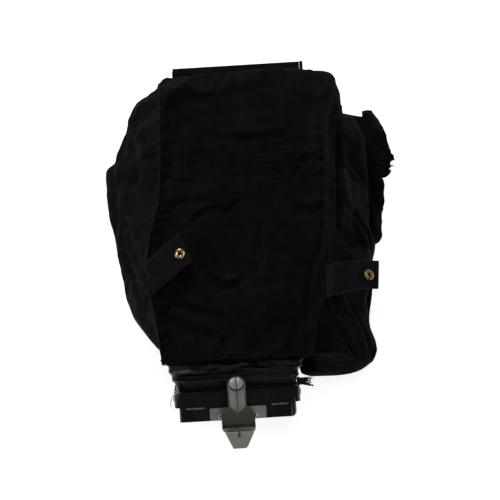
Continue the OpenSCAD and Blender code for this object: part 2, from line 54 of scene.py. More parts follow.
def smooth(x, a, b):
    t = np.clip((np.asarray(x, float) - a) / (b - a), 0, 1)
    return t * t * (3 - 2 * t)


def hash_noise(shape, seed):
    return np.random.default_rng(seed).random(shape)


def vnoise(x, y, seed=0, n=64):
    """smooth value noise of period n, from -1 to 1"""
    g = hash_noise((n, n), seed) * 2 - 1
    x = np.asarray(x, float); y = np.asarray(y, float)
    xi = np.floor(x).astype(int); yi = np.floor(y).astype(int)
    fx = x - xi; fy = y - yi
    fx = fx * fx * (3 - 2 * fx); fy = fy * fy * (3 - 2 * fy)
    a = g[xi % n, yi % n]; b = g[(xi + 1) % n, yi % n]; c = g[xi % n, (yi + 1) % n]; d = g[(xi + 1) % n, (yi + 1) % n]
    return (a * (1 - fx) + b * fx) * (1 - fy) + (c * (1 - fx) + d * fx) * fy


def fbm(x, y, seed=0, octaves=3):
    s = 0; a = 1.0; t = 0
    for k in range(octaves):
        s = s + a * vnoise(x * 2 ** k + 17.3 * k, y * 2 ** k + 5.1 * k, seed + k); t += a; a *= 0.5
    return s / t


def cr(a, b, c, d, t):
    return 0.5 * (2 * b + (c - a) * t + (2 * a - 5 * b + 4 * c - d) * t * t + (3 * b - a - 3 * c + d) * t ** 3)


def along(l, t):
    l = np.asarray(l, float); n = len(l)
    i = int(max(0, min(math.floor(t), n - 2))); f = t - i
    e = lambda k: 2 * l[0] - l[1] if k < 0 else (2 * l[-1] - l[-2] if k > n - 1 else l[k])
    return cr(e(i - 1), e(i), e(i + 1), e(i + 2), f)


def around(l, t):
    l = np.asarray(l, float); n = len(l); i = int(math.floor(t)) % n; f = t - math.floor(t)
    return cr(l[(i - 1) % n], l[i], l[(i + 1) % n], l[(i + 2) % n], f)


def unit(v):
    v = np.asarray(v, float)
    return v / np.maximum(np.linalg.norm(v, axis=-1, keepdims=True), 1e-9)


PITCH = math.radians(25)
CP, SP = math.cos(PITCH), math.sin(PITCH)


def C(x, s, n):
    """collar coordinates (across, along the tube, out of its top) to local millimetres"""
    x, s, n = np.broadcast_arrays(np.asarray(x, float), np.asarray(s, float), np.asarray(n, float))
    return np.stack([x, s * CP - n * SP, 77.1 + s * SP + n * CP], axis=-1)


def resample(p, step, closed=False):
    """points at even spacing along a line of points"""
    p = np.asarray(p, float)
    if closed:
        p = np.vstack([p, p[:1]])
    d = np.r_[0, np.cumsum(np.linalg.norm(np.diff(p, axis=0), axis=1))]
    n = max(2, int(round(d[-1] / step)))
    t = np.linspace(0, d[-1], n + 1)
    q = np.stack([np.interp(t, d, p[:, k]) for k in range(3)], axis=1)
    return q[:-1] if closed else q


def spline(pts, per=8, closed=False):
    pts = np.asarray(pts, float)
    if closed:
        return np.array([around(pts, i + j / per) for i in range(len(pts)) for j in range(per)])
    return np.array([along(pts, t) for t in np.linspace(0, len(pts) - 1, (len(pts) - 1) * per + 1)])


def add_mesh(name, verts, faces, uvs=None, mat=None, mats=None, face_mats=None, smooth_shade=True):
    """verts in row-frame metres; uvs are per vertex, in metres, or per face corner"""
    me = bpy.data.meshes.new(name)
    me.from_pydata([tuple(v) for v in np.asarray(verts, float)], [], [tuple(int(i) for i in f) for f in faces])
    if uvs is not None:
        lay = me.uv_layers.new(name="UVMap")
        uvs = np.asarray(uvs, float)
        if len(uvs) == len(me.vertices) and len(uvs) != len(me.loops):
            idx = np.empty(len(me.loops), dtype=np.int32)
            me.loops.foreach_get("vertex_index", idx)
            uvs = uvs[idx]
        lay.data.foreach_set("uv", uvs.astype(np.float32).ravel())
    o = bpy.data.objects.new(name, me)
    bpy.context.scene.collection.objects.link(o)
    for m in ([mat] if mat else (mats or [])):
        me.materials.append(m)
    if face_mats is not None:
        me.polygons.foreach_set("material_index", np.asarray(face_mats, dtype=np.int32))
    if smooth_shade:
        me.polygons.foreach_set("use_smooth", [True] * len(me.polygons))
    me.validate(); me.update()
    return o


def grid_faces(nv, nu, closed_u=False, off=0):
    f = []
    for v in range(nv - 1):
        for u in range(nu if closed_u else nu - 1):
            w = (u + 1) % nu
            f.append((off + v * nu + u, off + v * nu + w, off + (v + 1) * nu + w, off + (v + 1) * nu + u))
    return f


def grid_uv(g, closed_u=False):
    """per-corner uvs in metres for a grid of local-mm points, from arc lengths"""
    g = np.asarray(g, float); nv, nu = g.shape[:2]
    gu = np.concatenate([g, g[:, :1]], axis=1) if closed_u else g
    du = np.linalg.norm(np.diff(gu, axis=1), axis=2).mean(axis=0)
    dv = np.linalg.norm(np.diff(g, axis=0), axis=2).mean(axis=1)
    U = np.r_[0, np.cumsum(du)] / 1000; V = np.r_[0, np.cumsum(dv)] / 1000
    out = []
    for v in range(nv - 1):
        for u in range(nu if closed_u else nu - 1):
            out += [(U[u], V[v]), (U[u + 1], V[v]), (U[u + 1], V[v + 1]), (U[u], V[v + 1])]
    return np.array(out)


def normals_of(g, closed_u=False):
    g = np.asarray(g, float)
    if closed_u:
        du = np.roll(g, -1, axis=1) - np.roll(g, 1, axis=1)
    else:
        du = np.gradient(g, axis=1)
    dv = np.gradient(g, axis=0)
    return unit(np.cross(du, dv))


def slab(name, g, t, mat, closed_u=False, round_edge=True):
    """a sheet with real thickness: grid g is its outer face, t its thickness in mm, edges closed with flat rims;
    round_edge is not used
    """
    g = np.asarray(g, float); nv, nu = g.shape[:2]
    n = normals_of(g, closed_u)
    h = g - n * t
    verts = np.concatenate([g.reshape(-1, 3), h.reshape(-1, 3)])
    m = nv * nu
    faces = grid_faces(nv, nu, closed_u)
    uv = list(grid_uv(g, closed_u)); base = len(faces)
    back = [tuple(m + i for i in (f[0], f[3], f[2], f[1])) for f in faces]
    uvb = []
    for k in range(base):
        a = uv[4 * k:4 * k + 4]
        uvb += [a[0], a[3], a[2], a[1]]
    faces = faces + back; uv = uv + uvb
    rim = []
    last = nu if closed_u else nu - 1
    for u in range(last):
        w = (u + 1) % nu
        rim.append((u, m + u, m + w, w))
        q = (nv - 1) * nu
        rim.append((q + u, q + w, m + q + w, m + q + u))
    if not closed_u:
        for v in range(nv - 1):
            a, b = v * nu, (v + 1) * nu
            rim.append((a, b, m + b, m + a))
            a, b = a + nu - 1, b + nu - 1
            rim.append((a, m + a, m + b, b))
    for f in rim:
        p = verts[list(f)]
        uv += [(p[0][0] / 1000, p[0][1] / 1000), (p[1][0] / 1000, p[1][1] / 1000), (p[2][0] / 1000, p[2][1] / 1000), (p[3][0] / 1000, p[3][1] / 1000)]
    faces = faces + rim
    return add_mesh(name, M(verts), faces, np.array(uv), mat)


def sweep(name, path, section, mat, closed=False, up=None, caps=True, uv=True, scale=None):
    """section: k×2 points (side, out) in mm, swept along path (local mm); up gives the 'out' direction per point"""
    p = np.asarray(path, float); n = len(p); k = len(section)
    d = (np.roll(p, -1, 0) - np.roll(p, 1, 0)) if closed else np.gradient(p, axis=0)
    d = unit(d)
    if up is None:
        up = np.zeros_like(p); ref = np.array([0, 0, 1.0])
        a = unit(ref - d[0] * (ref @ d[0])) if abs(d[0] @ ref) < 0.95 else unit(np.array([0, 1.0, 0]) - d[0] * d[0][1])
        for i in range(n):
            a = unit(a - d[i] * (a @ d[i])); up[i] = a
    else:
        up = unit(up - d * np.sum(up * d, axis=1, keepdims=True))
    side = np.cross(d, up)
    sec = np.asarray(section, float)
    sc = np.ones(n) if scale is None else np.asarray(scale, float)
    ring = p[:, None] + sc[:, None, None] * (sec[None, :, :1] * side[:, None] + sec[None, :, 1:2] * up[:, None])
    faces = []
    last = n if closed else n - 1
    uvs = []
    per = np.r_[0, np.cumsum(np.linalg.norm(np.diff(np.vstack([sec, sec[:1]]), axis=0), axis=1))] / 1000
    ln = np.r_[0, np.cumsum(np.linalg.norm(np.diff(np.vstack([p, p[:1]]), axis=0), axis=1))] / 1000
    for i in range(last):
        i2 = (i + 1) % n
        for j in range(k):
            j2 = (j + 1) % k
            faces.append((i * k + j, i * k + j2, i2 * k + j2, i2 * k + j))
            uvs += [(per[j], ln[i]), (per[j + 1], ln[i]), (per[j + 1], ln[i + 1]), (per[j], ln[i + 1])]
    if caps and not closed:
        faces.append(tuple(reversed(range(k)))); uvs += [(s[0] / 1000, s[1] / 1000) for s in reversed(list(sec))]
        faces.append(tuple((n - 1) * k + j for j in range(k))); uvs += [(s[0] / 1000, s[1] / 1000) for s in sec]
    return add_mesh(name, M(ring.reshape(-1, 3)), faces, np.array(uvs) if uv else None, mat)


def ellipse(a, b, k=10, ph=0.0, power=1.0):
    t = np.linspace(0, 2 * np.pi, k, endpoint=False) + ph
    c, s = np.cos(t), np.sin(t)
    return np.stack([a * np.sign(c) * np.abs(c) ** power, b * np.sign(s) * np.abs(s) ** power], axis=1)


def stitches(name, path, mat, pitch=4.2, length=3.0, r=0.42, lift=None, up=None, zig=0.0):
    """a row of thread stitches along a path: short arched threads that dip into the cloth at both ends"""
    p = resample(path, pitch)
    P = np.asarray(path, float)
    if up is None:
        U = np.tile([0, 0, 1.0], (len(p), 1))
    else:
        from_d = np.r_[0, np.cumsum(np.linalg.norm(np.diff(P, axis=0), axis=1))]
        to_d = np.r_[0, np.cumsum(np.linalg.norm(np.diff(p, axis=0), axis=1))]
        to_d = to_d * from_d[-1] / max(to_d[-1], 1e-6)
        U = unit(np.stack([np.interp(to_d, from_d, np.asarray(up)[:, k]) for k in range(3)], axis=1))
    verts = []; faces = []
    k = 5
    for i in range(len(p) - 1):
        d = unit(p[i + 1] - p[i]); u = unit(U[i] - d * (U[i] @ d)); s = np.cross(d, u)
        off = s * zig * (1 if i % 2 else -1)
        mid = (p[i] + p[i + 1]) / 2
        base = len(verts)
        for j, (a, h, q) in enumerate([(-0.5, -0.5, 0.75), (-0.25, 0.16, 1), (0.25, 0.16, 1), (0.5, -0.5, 0.75)]):
            c = mid + d * a * length + u * h * r * 2 + (off if zig == 0 else off * (a * 2))
            for m in range(k):
                t = 2 * math.pi * m / k
                verts.append(c + q * r * (math.cos(t) * s + math.sin(t) * u))
        for j in range(3):
            for m in range(k):
                m2 = (m + 1) % k
                faces.append((base + j * k + m, base + j * k + m2, base + (j + 1) * k + m2, base + (j + 1) * k + m))
        faces.append(tuple(base + m for m in reversed(range(k))))
        faces.append(tuple(base + 3 * k + m for m in range(k)))
    return add_mesh(name, M(np.array(verts)), faces, None, mat)


def lathe(name, prof, frame_pts, mat, k=40):
    """profile of (radius, height) in mm turned about the axis of each (centre, axis) in frame_pts"""
    verts = []; faces = []
    for c, ax in frame_pts:
        ax = unit(ax); ref = np.array([0, 0, 1.0]) if abs(ax[2]) < 0.9 else np.array([1.0, 0, 0])
        x = unit(np.cross(ref, ax)); y = np.cross(ax, x)
        base = len(verts)
        for r, h in prof:
            for j in range(k):
                t = 2 * math.pi * j / k
                verts.append(np.asarray(c) + ax * h + r * (math.cos(t) * x + math.sin(t) * y))
        for i in range(len(prof) - 1):
            for j in range(k):
                j2 = (j + 1) % k
                faces.append((base + i * k + j, base + i * k + j2, base + (i + 1) * k + j2, base + (i + 1) * k + j))
        faces.append(tuple(base + j for j in reversed(range(k))))
        faces.append(tuple(base + (len(prof) - 1) * k + j for j in range(k)))
    return add_mesh(name, M(np.array(verts)), faces, None, mat)


# ------------------------------------------------------------------ materials
class Mat:
    def __init__(self, name, **sock):
        self.m = bpy.data.materials.new(name)
        self.m.use_nodes = True
        self.nt = self.m.node_tree
        self.nt.nodes.clear()
        self.out = self.nt.nodes.new("ShaderNodeOutputMaterial")
        self.b = self.nt.nodes.new("ShaderNodeBsdfPrincipled")
        self.nt.links.new(self.b.outputs[0], self.out.inputs[0])
        for k, v in sock.items():
            self.b.inputs[k.replace("_", " ")].default_value = v

    def n(self, kind, **kw):
        x = self.nt.nodes.new(kind)
        for k, v in kw.items():
            if k in x.inputs:
                x.inputs[k].default_value = v
            else:
                setattr(x, k, v)
        return x

    def l(self, a, b):
        self.nt.links.new(a, b)

    def coord(self, kind="Object"):
        return self.n("ShaderNodeTexCoord").outputs[kind]

    def mapping(self, src, scale=(1, 1, 1), rot=(0, 0, 0)):
        x = self.n("ShaderNodeMapping"); x.inputs["Scale"].default_value = scale; x.inputs["Rotation"].default_value = rot
        self.l(src, x.inputs["Vector"]); return x.outputs[0]

    def noise(self, src, scale, detail=3.0, rough=0.55, dist=0.0):
        x = self.n("ShaderNodeTexNoise"); x.inputs["Scale"].default_value = scale
        x.inputs["Detail"].default_value = detail; x.inputs["Roughness"].default_value = rough; x.inputs["Distortion"].default_value = dist
        self.l(src, x.inputs["Vector"]); return x.outputs[0]

    def wave(self, src, scale, direction="X", dist=0.0, dscale=1.0, profile="SIN"):
        x = self.n("ShaderNodeTexWave"); x.wave_type = "BANDS"; x.bands_direction = direction; x.wave_profile = profile
        x.inputs["Scale"].default_value = scale; x.inputs["Distortion"].default_value = dist; x.inputs["Detail Scale"].default_value = dscale
        x.inputs["Detail"].default_value = 1.0
        self.l(src, x.inputs["Vector"]); return x.outputs["Fac"]

    def ramp(self, src, stops):
        x = self.n("ShaderNodeValToRGB"); e = x.color_ramp.elements
        while len(e) < len(stops):
            e.new(0.5)
        for k, (p, c) in zip(e, stops):
            k.position = p
            k.color = (c, c, c, 1) if not hasattr(c, "__len__") else (*c, 1)
        self.l(src, x.inputs[0]); return x.outputs[0]

    def math(self, op, a, b=0.5):
        x = self.n("ShaderNodeMath", operation=op)
        for i, v in enumerate((a, b)):
            if isinstance(v, (int, float)):
                x.inputs[i].default_value = v
            else:
                self.l(v, x.inputs[i])
        return x.outputs[0]

    def mix(self, fac, a, b):
        x = self.n("ShaderNodeMix"); x.data_type = "RGBA"
        for sock, v in ((x.inputs[0], fac), (x.inputs[6], a), (x.inputs[7], b)):
            if isinstance(v, (int, float)):
                sock.default_value = v
            elif isinstance(v, tuple):
                sock.default_value = (*v, 1)
            else:
                self.l(v, sock)
        return x.outputs[2]

    def bump(self, h, strength, dist, prev=None):
        x = self.n("ShaderNodeBump"); x.inputs["Strength"].default_value = strength; x.inputs["Distance"].default_value = dist
        self.l(h, x.inputs["Height"])
        if prev is not None:
            self.l(prev, x.inputs["Normal"])
        return x.outputs[0]

    def set(self, sock, src):
        self.l(src, self.b.inputs[sock])


def cloth_mat(name, dark, light, rough=0.92, spec=0.12, sheen=0.25, thread=0.0013, wear=0.014):
    m = Mat(name, Roughness=rough)
    m.b.inputs["Specular IOR Level"].default_value = spec
    m.b.inputs["Sheen Weight"].default_value = sheen
    m.b.inputs["Sheen Roughness"].default_value = 0.55
    m.b.inputs["Sheen Tint"].default_value = (0.5, 0.5, 0.52, 1)
    uv = m.coord("UV"); ob = m.coord("Object")
    s = 0.31416 / thread
    wa = m.wave(uv, s, "X", 0.6, 0.4); wb = m.wave(uv, s, "Y", 0.6, 0.4)
    weave = m.math("MAXIMUM", m.math("MULTIPLY", wa, 0.9), wb)
    mott = m.noise(ob, 55, 4, 0.6); fine = m.noise(ob, 900, 2, 0.6)
    base = m.ramp(mott, [(0.3, dark), (0.7, light)])
    c = m.mix(m.math("MULTIPLY", m.math("SUBTRACT", weave, 0.35), 0.5), base, tuple(x * 1.9 for x in light))
    geo = m.n("ShaderNodeNewGeometry")
    edge = m.ramp(geo.outputs["Pointiness"], [(0.52, 0.0), (0.6, 1.0)])
    c = m.mix(m.math("MULTIPLY", edge, 0.35), c, (wear, wear, wear * 1.02))
    dust = m.ramp(m.noise(ob, 14, 5, 0.65), [(0.5, 0.0), (0.8, 0.45)])
    c = m.mix(dust, c, tuple(x * 1.9 for x in light))
    wear_and_edge_highlight = m.ramp(m.noise(ob, 5.5, 4, 0.6), [(0.42, 0.0), (0.7, 0.35)])
    c = m.mix(wear_and_edge_highlight, c, tuple(x * 0.45 for x in dark))
    m.set("Base Color", c)
    m.set("Roughness", m.math("ADD", m.math("MULTIPLY", mott, 0.12), rough - 0.06))
    nb = m.bump(fine, 0.25, 0.0004)
    nb = m.bump(weave, 0.5, 0.00035, nb)
    m.set("Normal", nb)
    return m.m


def webbing_mat(name, dark, light):
    m = Mat(name, Roughness=0.72)
    m.b.inputs["Specular IOR Level"].default_value = 0.08
    m.b.inputs["Sheen Weight"].default_value = 0.04
    m.b.inputs["Sheen Roughness"].default_value = 0.45
    uv = m.coord("UV"); ob = m.coord("Object")
    rib = m.wave(uv, 0.31416 / 0.0031, "Y", 0.15, 0.5)          # cross ribs
    zig = m.wave(m.mapping(uv, (1, 1, 1), (0, 0, 0.7)), 0.31416 / 0.0019, "X", 0.2, 0.5)
    chan = m.wave(uv, 0.31416 / 0.0085, "X", 0.1, 0.5)          # lengthwise channels
    h = m.math("ADD", m.math("MULTIPLY", rib, 0.5), m.math("MULTIPLY", zig, 0.5))
    c = m.mix(h, dark, light)
    c = m.mix(m.ramp(chan, [(0.0, 0.35), (0.25, 0.0)]), c, tuple(x * 0.6 for x in dark))
    c = m.mix(m.ramp(m.noise(ob, 120, 4, 0.6), [(0.55, 0.0), (0.8, 0.5)]), c, tuple(x * 1.6 for x in light))
    m.set("Base Color", c)
    m.set("Roughness", m.math("ADD", m.math("MULTIPLY", m.noise(ob, 90), 0.15), 0.64))
    nb = m.bump(h, 0.6, 0.0005)
    nb = m.bump(chan, 0.3, 0.0006, nb)
    m.set("Normal", nb)
    return m.m


def vinyl_mat(name):
    m = Mat(name, Roughness=0.3)
    m.b.inputs["Specular IOR Level"].default_value = 0.24
    m.b.inputs["Coat Weight"].default_value = 0.02
    m.b.inputs["Coat Roughness"].default_value = 0.25
    ob = m.coord("Object")
    n1 = m.noise(ob, 30, 5, 0.6); n2 = m.noise(ob, 260, 4, 0.7)
    v = m.n("ShaderNodeTexVoronoi"); v.inputs["Scale"].default_value = 900; m.l(ob, v.inputs["Vector"])
    m.set("Base Color", m.ramp(n1, [(0.3, (0.0028, 0.0028, 0.0031)), (0.7, (0.006, 0.006, 0.0063))]))
    m.set("Roughness", m.ramp(n2, [(0.3, 0.36), (0.75, 0.58)]))
    nb = m.bump(n2, 0.35, 0.0006)
    nb = m.bump(v.outputs["Distance"], 0.18, 0.0003, nb)
    m.set("Normal", nb)
    return m.m


def plastic_mat(name, a, b, rough=(0.28, 0.46), grain=1400, scratch=True, spec=0.5, wear_and_edge_highlight=0.12):
    m = Mat(name, Roughness=0.35)
    m.b.inputs["Specular IOR Level"].default_value = spec
    ob = m.coord("Object")
    big = m.noise(ob, 22, 4, 0.6); gr = m.noise(ob, grain, 2, 0.5)
    c = m.ramp(big, [(0.3, a), (0.7, b)])
    # painted highlight: convex edges, found by pointiness, are mixed towards a lighter copy of the plastic colour
    geo = m.n("ShaderNodeNewGeometry")
    edge = m.ramp(geo.outputs["Pointiness"], [(0.53, 0.0), (0.62, 1.0)])
    c = m.mix(m.math("MULTIPLY", edge, wear_and_edge_highlight), c, tuple(min(1, x * 3.2) for x in b))
    r = m.ramp(big, [(0.3, rough[0]), (0.7, rough[1])])
    if scratch:
        st = m.noise(m.mapping(ob, (1, 14, 14), (0.2, 0.5, 0.3)), 60, 3, 0.7)
        sc = m.ramp(st, [(0.66, 0.0), (0.7, 1.0)])
        r = m.mix(m.math("MULTIPLY", sc, 0.5), r, (0.6, 0.6, 0.6))
        c = m.mix(m.math("MULTIPLY", sc, 0.3), c, tuple(min(1, x * 2.2) for x in b))
    m.set("Base Color", c); m.set("Roughness", r)
    m.set("Normal", m.bump(gr, 0.12, 0.0002))
    return m.m


def metal_mat(name, a, b, rough=(0.22, 0.42), stretch=(1, 10, 10), bump=0.06, tarnish=None):
    m = Mat(name, Metallic=1.0, Roughness=0.3)
    ob = m.coord("Object")
    big = m.noise(ob, 45, 5, 0.65, 0.4); br = m.noise(m.mapping(ob, stretch), 240, 3, 0.7)
    c = m.ramp(big, [(0.3, a), (0.7, b)])
    if tarnish:
        c = m.mix(m.ramp(m.noise(ob, 95, 6, 0.7, 1.0), [(0.52, 0.0), (0.75, 0.8)]), c, tarnish)
    m.set("Base Color", c)
    m.set("Roughness", m.ramp(br, [(0.3, rough[0]), (0.7, rough[1])]))
    m.set("Normal", m.bump(br, bump, 0.0003))
    return m.m


CLOTH = cloth_mat("woven_cloth", (0.0028, 0.0028, 0.0030), (0.0070, 0.0070, 0.0073), spec=0.025, sheen=0.022, wear=0.011)
BIND = cloth_mat("binding_tape", (0.004, 0.004, 0.0043), (0.0085, 0.0085, 0.0089), spec=0.04, thread=0.0009, sheen=0.03)
THREAD = cloth_mat("thread", (0.009, 0.009, 0.0095), (0.018, 0.018, 0.0185), rough=0.7, spec=0.15, sheen=0.05, thread=0.0006)
WEB = webbing_mat("strap_webbing", (0.0036, 0.0036, 0.0039), (0.0090, 0.0090, 0.0094))
VINYL = vinyl_mat("glossy_vinyl")
CHUTE = plastic_mat("chute_plastic", (0.0030, 0.0032, 0.0026), (0.0062, 0.0066, 0.0052), (0.2, 0.34), spec=0.42, wear_and_edge_highlight=0.0)
# painted highlight: light grey plastic for the pill bars that stand in for reflections on the flange's step edge
PILL_HIGHLIGHT = plastic_mat("pill_painted_highlight", (0.22, 0.22, 0.2), (0.34, 0.34, 0.31), (0.25, 0.4))
# painted highlight: lighter webbing for the bead round each strap, standing in for light caught along its edges
STRAP_EDGE_HIGHLIGHT = webbing_mat("strap_edge_highlight", (0.012, 0.012, 0.0125), (0.026, 0.026, 0.027))
CORE = plastic_mat("grip_core", (0.012, 0.012, 0.012), (0.02, 0.02, 0.02), (0.4, 0.55))
# painted light: the grip's upward end face is a much lighter grey than its sleeve, for the light it catches from above
LIT_END_FACE = plastic_mat("grip_end_face_painted_light", (0.24, 0.235, 0.24), (0.40, 0.39, 0.39), (0.3, 0.45), grain=700)
CHANNEL = plastic_mat("channel_plastic", (0.0018, 0.0018, 0.0018), (0.0036, 0.0036, 0.0036), (0.4, 0.55), spec=0.07, wear_and_edge_highlight=0.0)
GRIP = plastic_mat("grip_plastic", (0.040, 0.037, 0.041), (0.082, 0.079, 0.078), (0.3, 0.45), grain=900)
ZINC = metal_mat("zinc_plate", (0.50, 0.53, 0.46), (0.66, 0.69, 0.61), (0.26, 0.44), tarnish=(0.44, 0.45, 0.36))


def lever_mat():
    """zinc tongue with a painted highlight along the bend, painted shade darkening the web round the pin, and a painted
    brown reflection making the plate under the grip duller and browner
    """
    m = Mat("lever_zinc", Metallic=1.0, Roughness=0.3)
    ob = m.coord("Object")
    dot = m.n("ShaderNodeVectorMath", operation="DOT_PRODUCT"); m.l(ob, dot.inputs[0]); dot.inputs[1].default_value = (0, CP, SP)
    wob = m.math("MULTIPLY", m.math("SUBTRACT", m.noise(ob, 160, 3), 0.5), 0.0016)
    sm = m.math("ADD", m.math("ADD", dot.outputs["Value"], 0.30893 * CP - 0.0771 * SP), wob)
    t = m.math("MULTIPLY", m.math("ADD", sm, 0.06), 10.0)
    big = m.noise(ob, 60, 5, 0.65, 0.4); br = m.noise(m.mapping(ob, (1, 10, 10)), 260, 3, 0.7)
    # painted highlight: the pale stop on the bend; painted shade: the near-black stops on the web round the pin;
    # painted reflection: the brown stops on the plate under the grip
    painted_light_bands = m.ramp(t, [(0.30, (0.36, 0.39, 0.34)), (0.365, (0.44, 0.47, 0.41)), (0.378, (0.9, 0.92, 0.86)), (0.39, (0.03, 0.033, 0.027)), (0.53, (0.025, 0.027, 0.022)), (0.565, (0.27, 0.26, 0.18)), (0.9, (0.33, 0.32, 0.24))])
    c = m.mix(m.ramp(big, [(0.35, 0.0), (0.75, 0.35)]), painted_light_bands, (0.3, 0.33, 0.27))
    geo = m.n("ShaderNodeNewGeometry")
    c = m.mix(m.math("MULTIPLY", m.ramp(geo.outputs["Pointiness"], [(0.6, 0.0), (0.8, 1.0)]), 0.06), c, (0.62, 0.66, 0.6))
    sep = m.n("ShaderNodeSeparateXYZ"); m.l(ob, sep.inputs[0])
    off = m.math("ABSOLUTE", m.math("ADD", sep.outputs[0], 0.0415), 0.0)
    # painted shade: a dark green strip in the dart notch at the bend
    dart_notch_shade = m.math("MULTIPLY", m.math("LESS_THAN", off, 0.0021), m.math("MULTIPLY", m.math("GREATER_THAN", t, 0.29), m.math("LESS_THAN", t, 0.4)))
    c = m.mix(dart_notch_shade, c, (0.07, 0.085, 0.05))
    m.set("Base Color", c)
    r = m.ramp(t, [(0.3, 0.36), (0.37, 0.3), (0.39, 0.5), (0.53, 0.45), (0.57, 0.16), (0.9, 0.2)])
    m.set("Roughness", m.math("ADD", r, m.math("MULTIPLY", m.math("SUBTRACT", br, 0.5), 0.16)))
    m.set("Normal", m.bump(br, 0.06, 0.0003))
    return m.m


LEVER = lever_mat()
BRIGHT = metal_mat("bright_wire", (0.34, 0.34, 0.32), (0.5, 0.5, 0.47), (0.2, 0.36))
SPRINGM = metal_mat("spring_wire", (0.35, 0.35, 0.36), (0.5, 0.5, 0.5), (0.25, 0.45))
# painted shade: dark brass for the shaded foot of each snap cap, its hole and the springs inside
SHADE_BRASS = metal_mat("brass_painted_shade", (0.06, 0.035, 0.015), (0.13, 0.08, 0.035), (0.3, 0.45))
BRASS = metal_mat("brass", (0.75, 0.50, 0.20), (0.92, 0.68, 0.34), (0.14, 0.3), tarnish=(0.5, 0.3, 0.12))


def piece(o, body, slot_name, *nodes):
    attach(o, body)
    if nodes:
        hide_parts(*nodes)
    return o


# ------------------------------------------------------------------ the bag's shape
CAGE = np.array([
    [[-122, 133, 3], [-127, 124, 36], [-127, 110, 80], [-122, 99, 116], [-60, 92, 131], [5, 91, 133], [72, 91, 132], [131, 92, 126], [172, 102, 98], [211, 112, 44], [223, 118, 3], [100, 134, 0], [0, 137, 0]],
    [[-134, 168, 3], [-141, 166, 38], [-138, 164, 86], [-127, 160, 122], [-65, 156, 135], [8, 152, 139], [82, 152, 138], [144, 152, 133], [184, 152, 103], [225, 152, 42], [234, 154, 3], [95, 166, 0], [-15, 168, 0]],
    [[-170, 238, 3], [-177, 240, 40], [-162, 240, 92], [-138, 240, 127], [-70, 238, 138], [8, 235, 140], [88, 235, 141], [168, 240, 137], [197, 240, 102], [223, 240, 46], [230, 240, 3], [95, 240, 0], [-30, 240, 0]],
    [[-184, 310, 3], [-191, 310, 42], [-168, 310, 94], [-134, 310, 128], [-70, 310, 134], [8, 310, 136], [90, 310, 139], [172, 312, 140], [204, 312, 104], [232, 310, 48], [237, 310, 3], [95, 310, 0], [-38, 310, 0]],
    [[-193, 380, 3], [-202, 382, 36], [-172, 382, 90], [-114, 385, 128], [-58, 385, 129], [15, 385, 131], [95, 385, 134], [177, 390, 139], [210, 388, 102], [238, 385, 46], [243, 385, 3], [95, 385, 0], [-40, 385, 0]],
    [[-196, 455, 3], [-206, 455, 36], [-176, 456, 84], [-108, 460, 122], [-55, 460, 122], [20, 460, 124], [100, 460, 127], [178, 460, 133], [213, 458, 94], [240, 455, 42], [245, 455, 3], [98, 455, 0], [-40, 455, 0]],
    [[-180, 520, 3], [-184, 522, 36], [-160, 526, 76], [-104, 532, 112], [-50, 532, 112], [25, 532, 114], [105, 532, 116], [186, 532, 120], [217, 528, 84], [239, 522, 38], [243, 520, 3], [100, 520, 0], [-36, 520, 0]],
    [[-159, 570, 4], [-164, 572, 36], [-144, 578, 66], [-102, 582, 98], [-48, 584, 100], [28, 584, 101], [108, 584, 103], [195, 580, 106], [209, 575, 75], [216, 572, 31], [243, 568, 4], [100, 570, 0], [-30, 570, 0]],
    [[-142, 602, 10], [-148, 604, 34], [-134, 606, 58], [-101, 608, 84], [-48, 612, 88], [30, 614, 88], [112, 613, 90], [199, 602, 92], [205, 599, 68], [207, 596, 40], [206, 592, 12], [100, 602, 8], [-20, 602, 8]],
    [[-116, 630, 24], [-120, 630, 36], [-116, 630, 48], [-96, 632, 64], [-46, 636, 68], [32, 637, 68], [112, 636, 70], [190, 624, 74], [195, 622, 60], [195, 620, 44], [189, 618, 28], [100, 630, 26], [-10, 630, 26]],
    [[-88, 643, 46.5], [-89, 643, 49], [-88, 643, 51], [-84, 643, 53], [-44, 645, 53], [34, 645, 53], [110, 645, 53], [160, 639, 53], [166, 637, 51], [166, 637, 49], [160, 638, 46.5], [100, 643, 46.5], [0, 643, 46.5]],
], float)
HOLE = np.array([[-117, -80], [-119, -58], [-119, -26], [-116, -4], [-60, 2], [5, 2], [68, 2], [120, -4], [123, -26], [123, -58], [120, -80], [40, -85], [-40, -85]], float)
PANELS = [("left", [0, 1, 2, 3]), ("top", [3, 4, 5, 6, 7]), ("right", [7, 8, 9, 10]), ("bottom", [10, 11, 12, 0])]
NCOL = {"left": 20, "top": 46, "right": 20, "bottom": 44}
STEP = 7.0

# rows: parameter along the cage, about one per STEP of length, with the front wall first
rows_v = []
mean_len = np.linalg.norm(np.diff(CAGE, axis=0), axis=2)[:, [1, 3, 5, 7, 9]].mean(axis=1)
for i in range(10):
    n = max(2, int(round(mean_len[i] / STEP)))
    rows_v += [i + j / n for j in range(n)]
rows_v.append(10.0)
NFRONT = 9


def panel_cols(idx, n):
    """grid over one panel: every row by its own columns, edges exactly on the seam lines"""
    out = []
    for v in rows_v:
        row = np.array([along(CAGE[:, k], v) for k in idx])
        out.append([along(row, t) for t in np.linspace(0, len(idx) - 1, n + 1)])
    return np.array(out)


parts = {name: panel_cols(idx, NCOL[name]) for name, idx in PANELS}
main = np.concatenate([parts[n][:, :-1] for n, _ in PANELS], axis=1)       # rows × around, closed
starts = {}
c0 = 0
for n, _ in PANELS:
    starts[n] = c0; c0 += NCOL[n]
NU = main.shape[1]
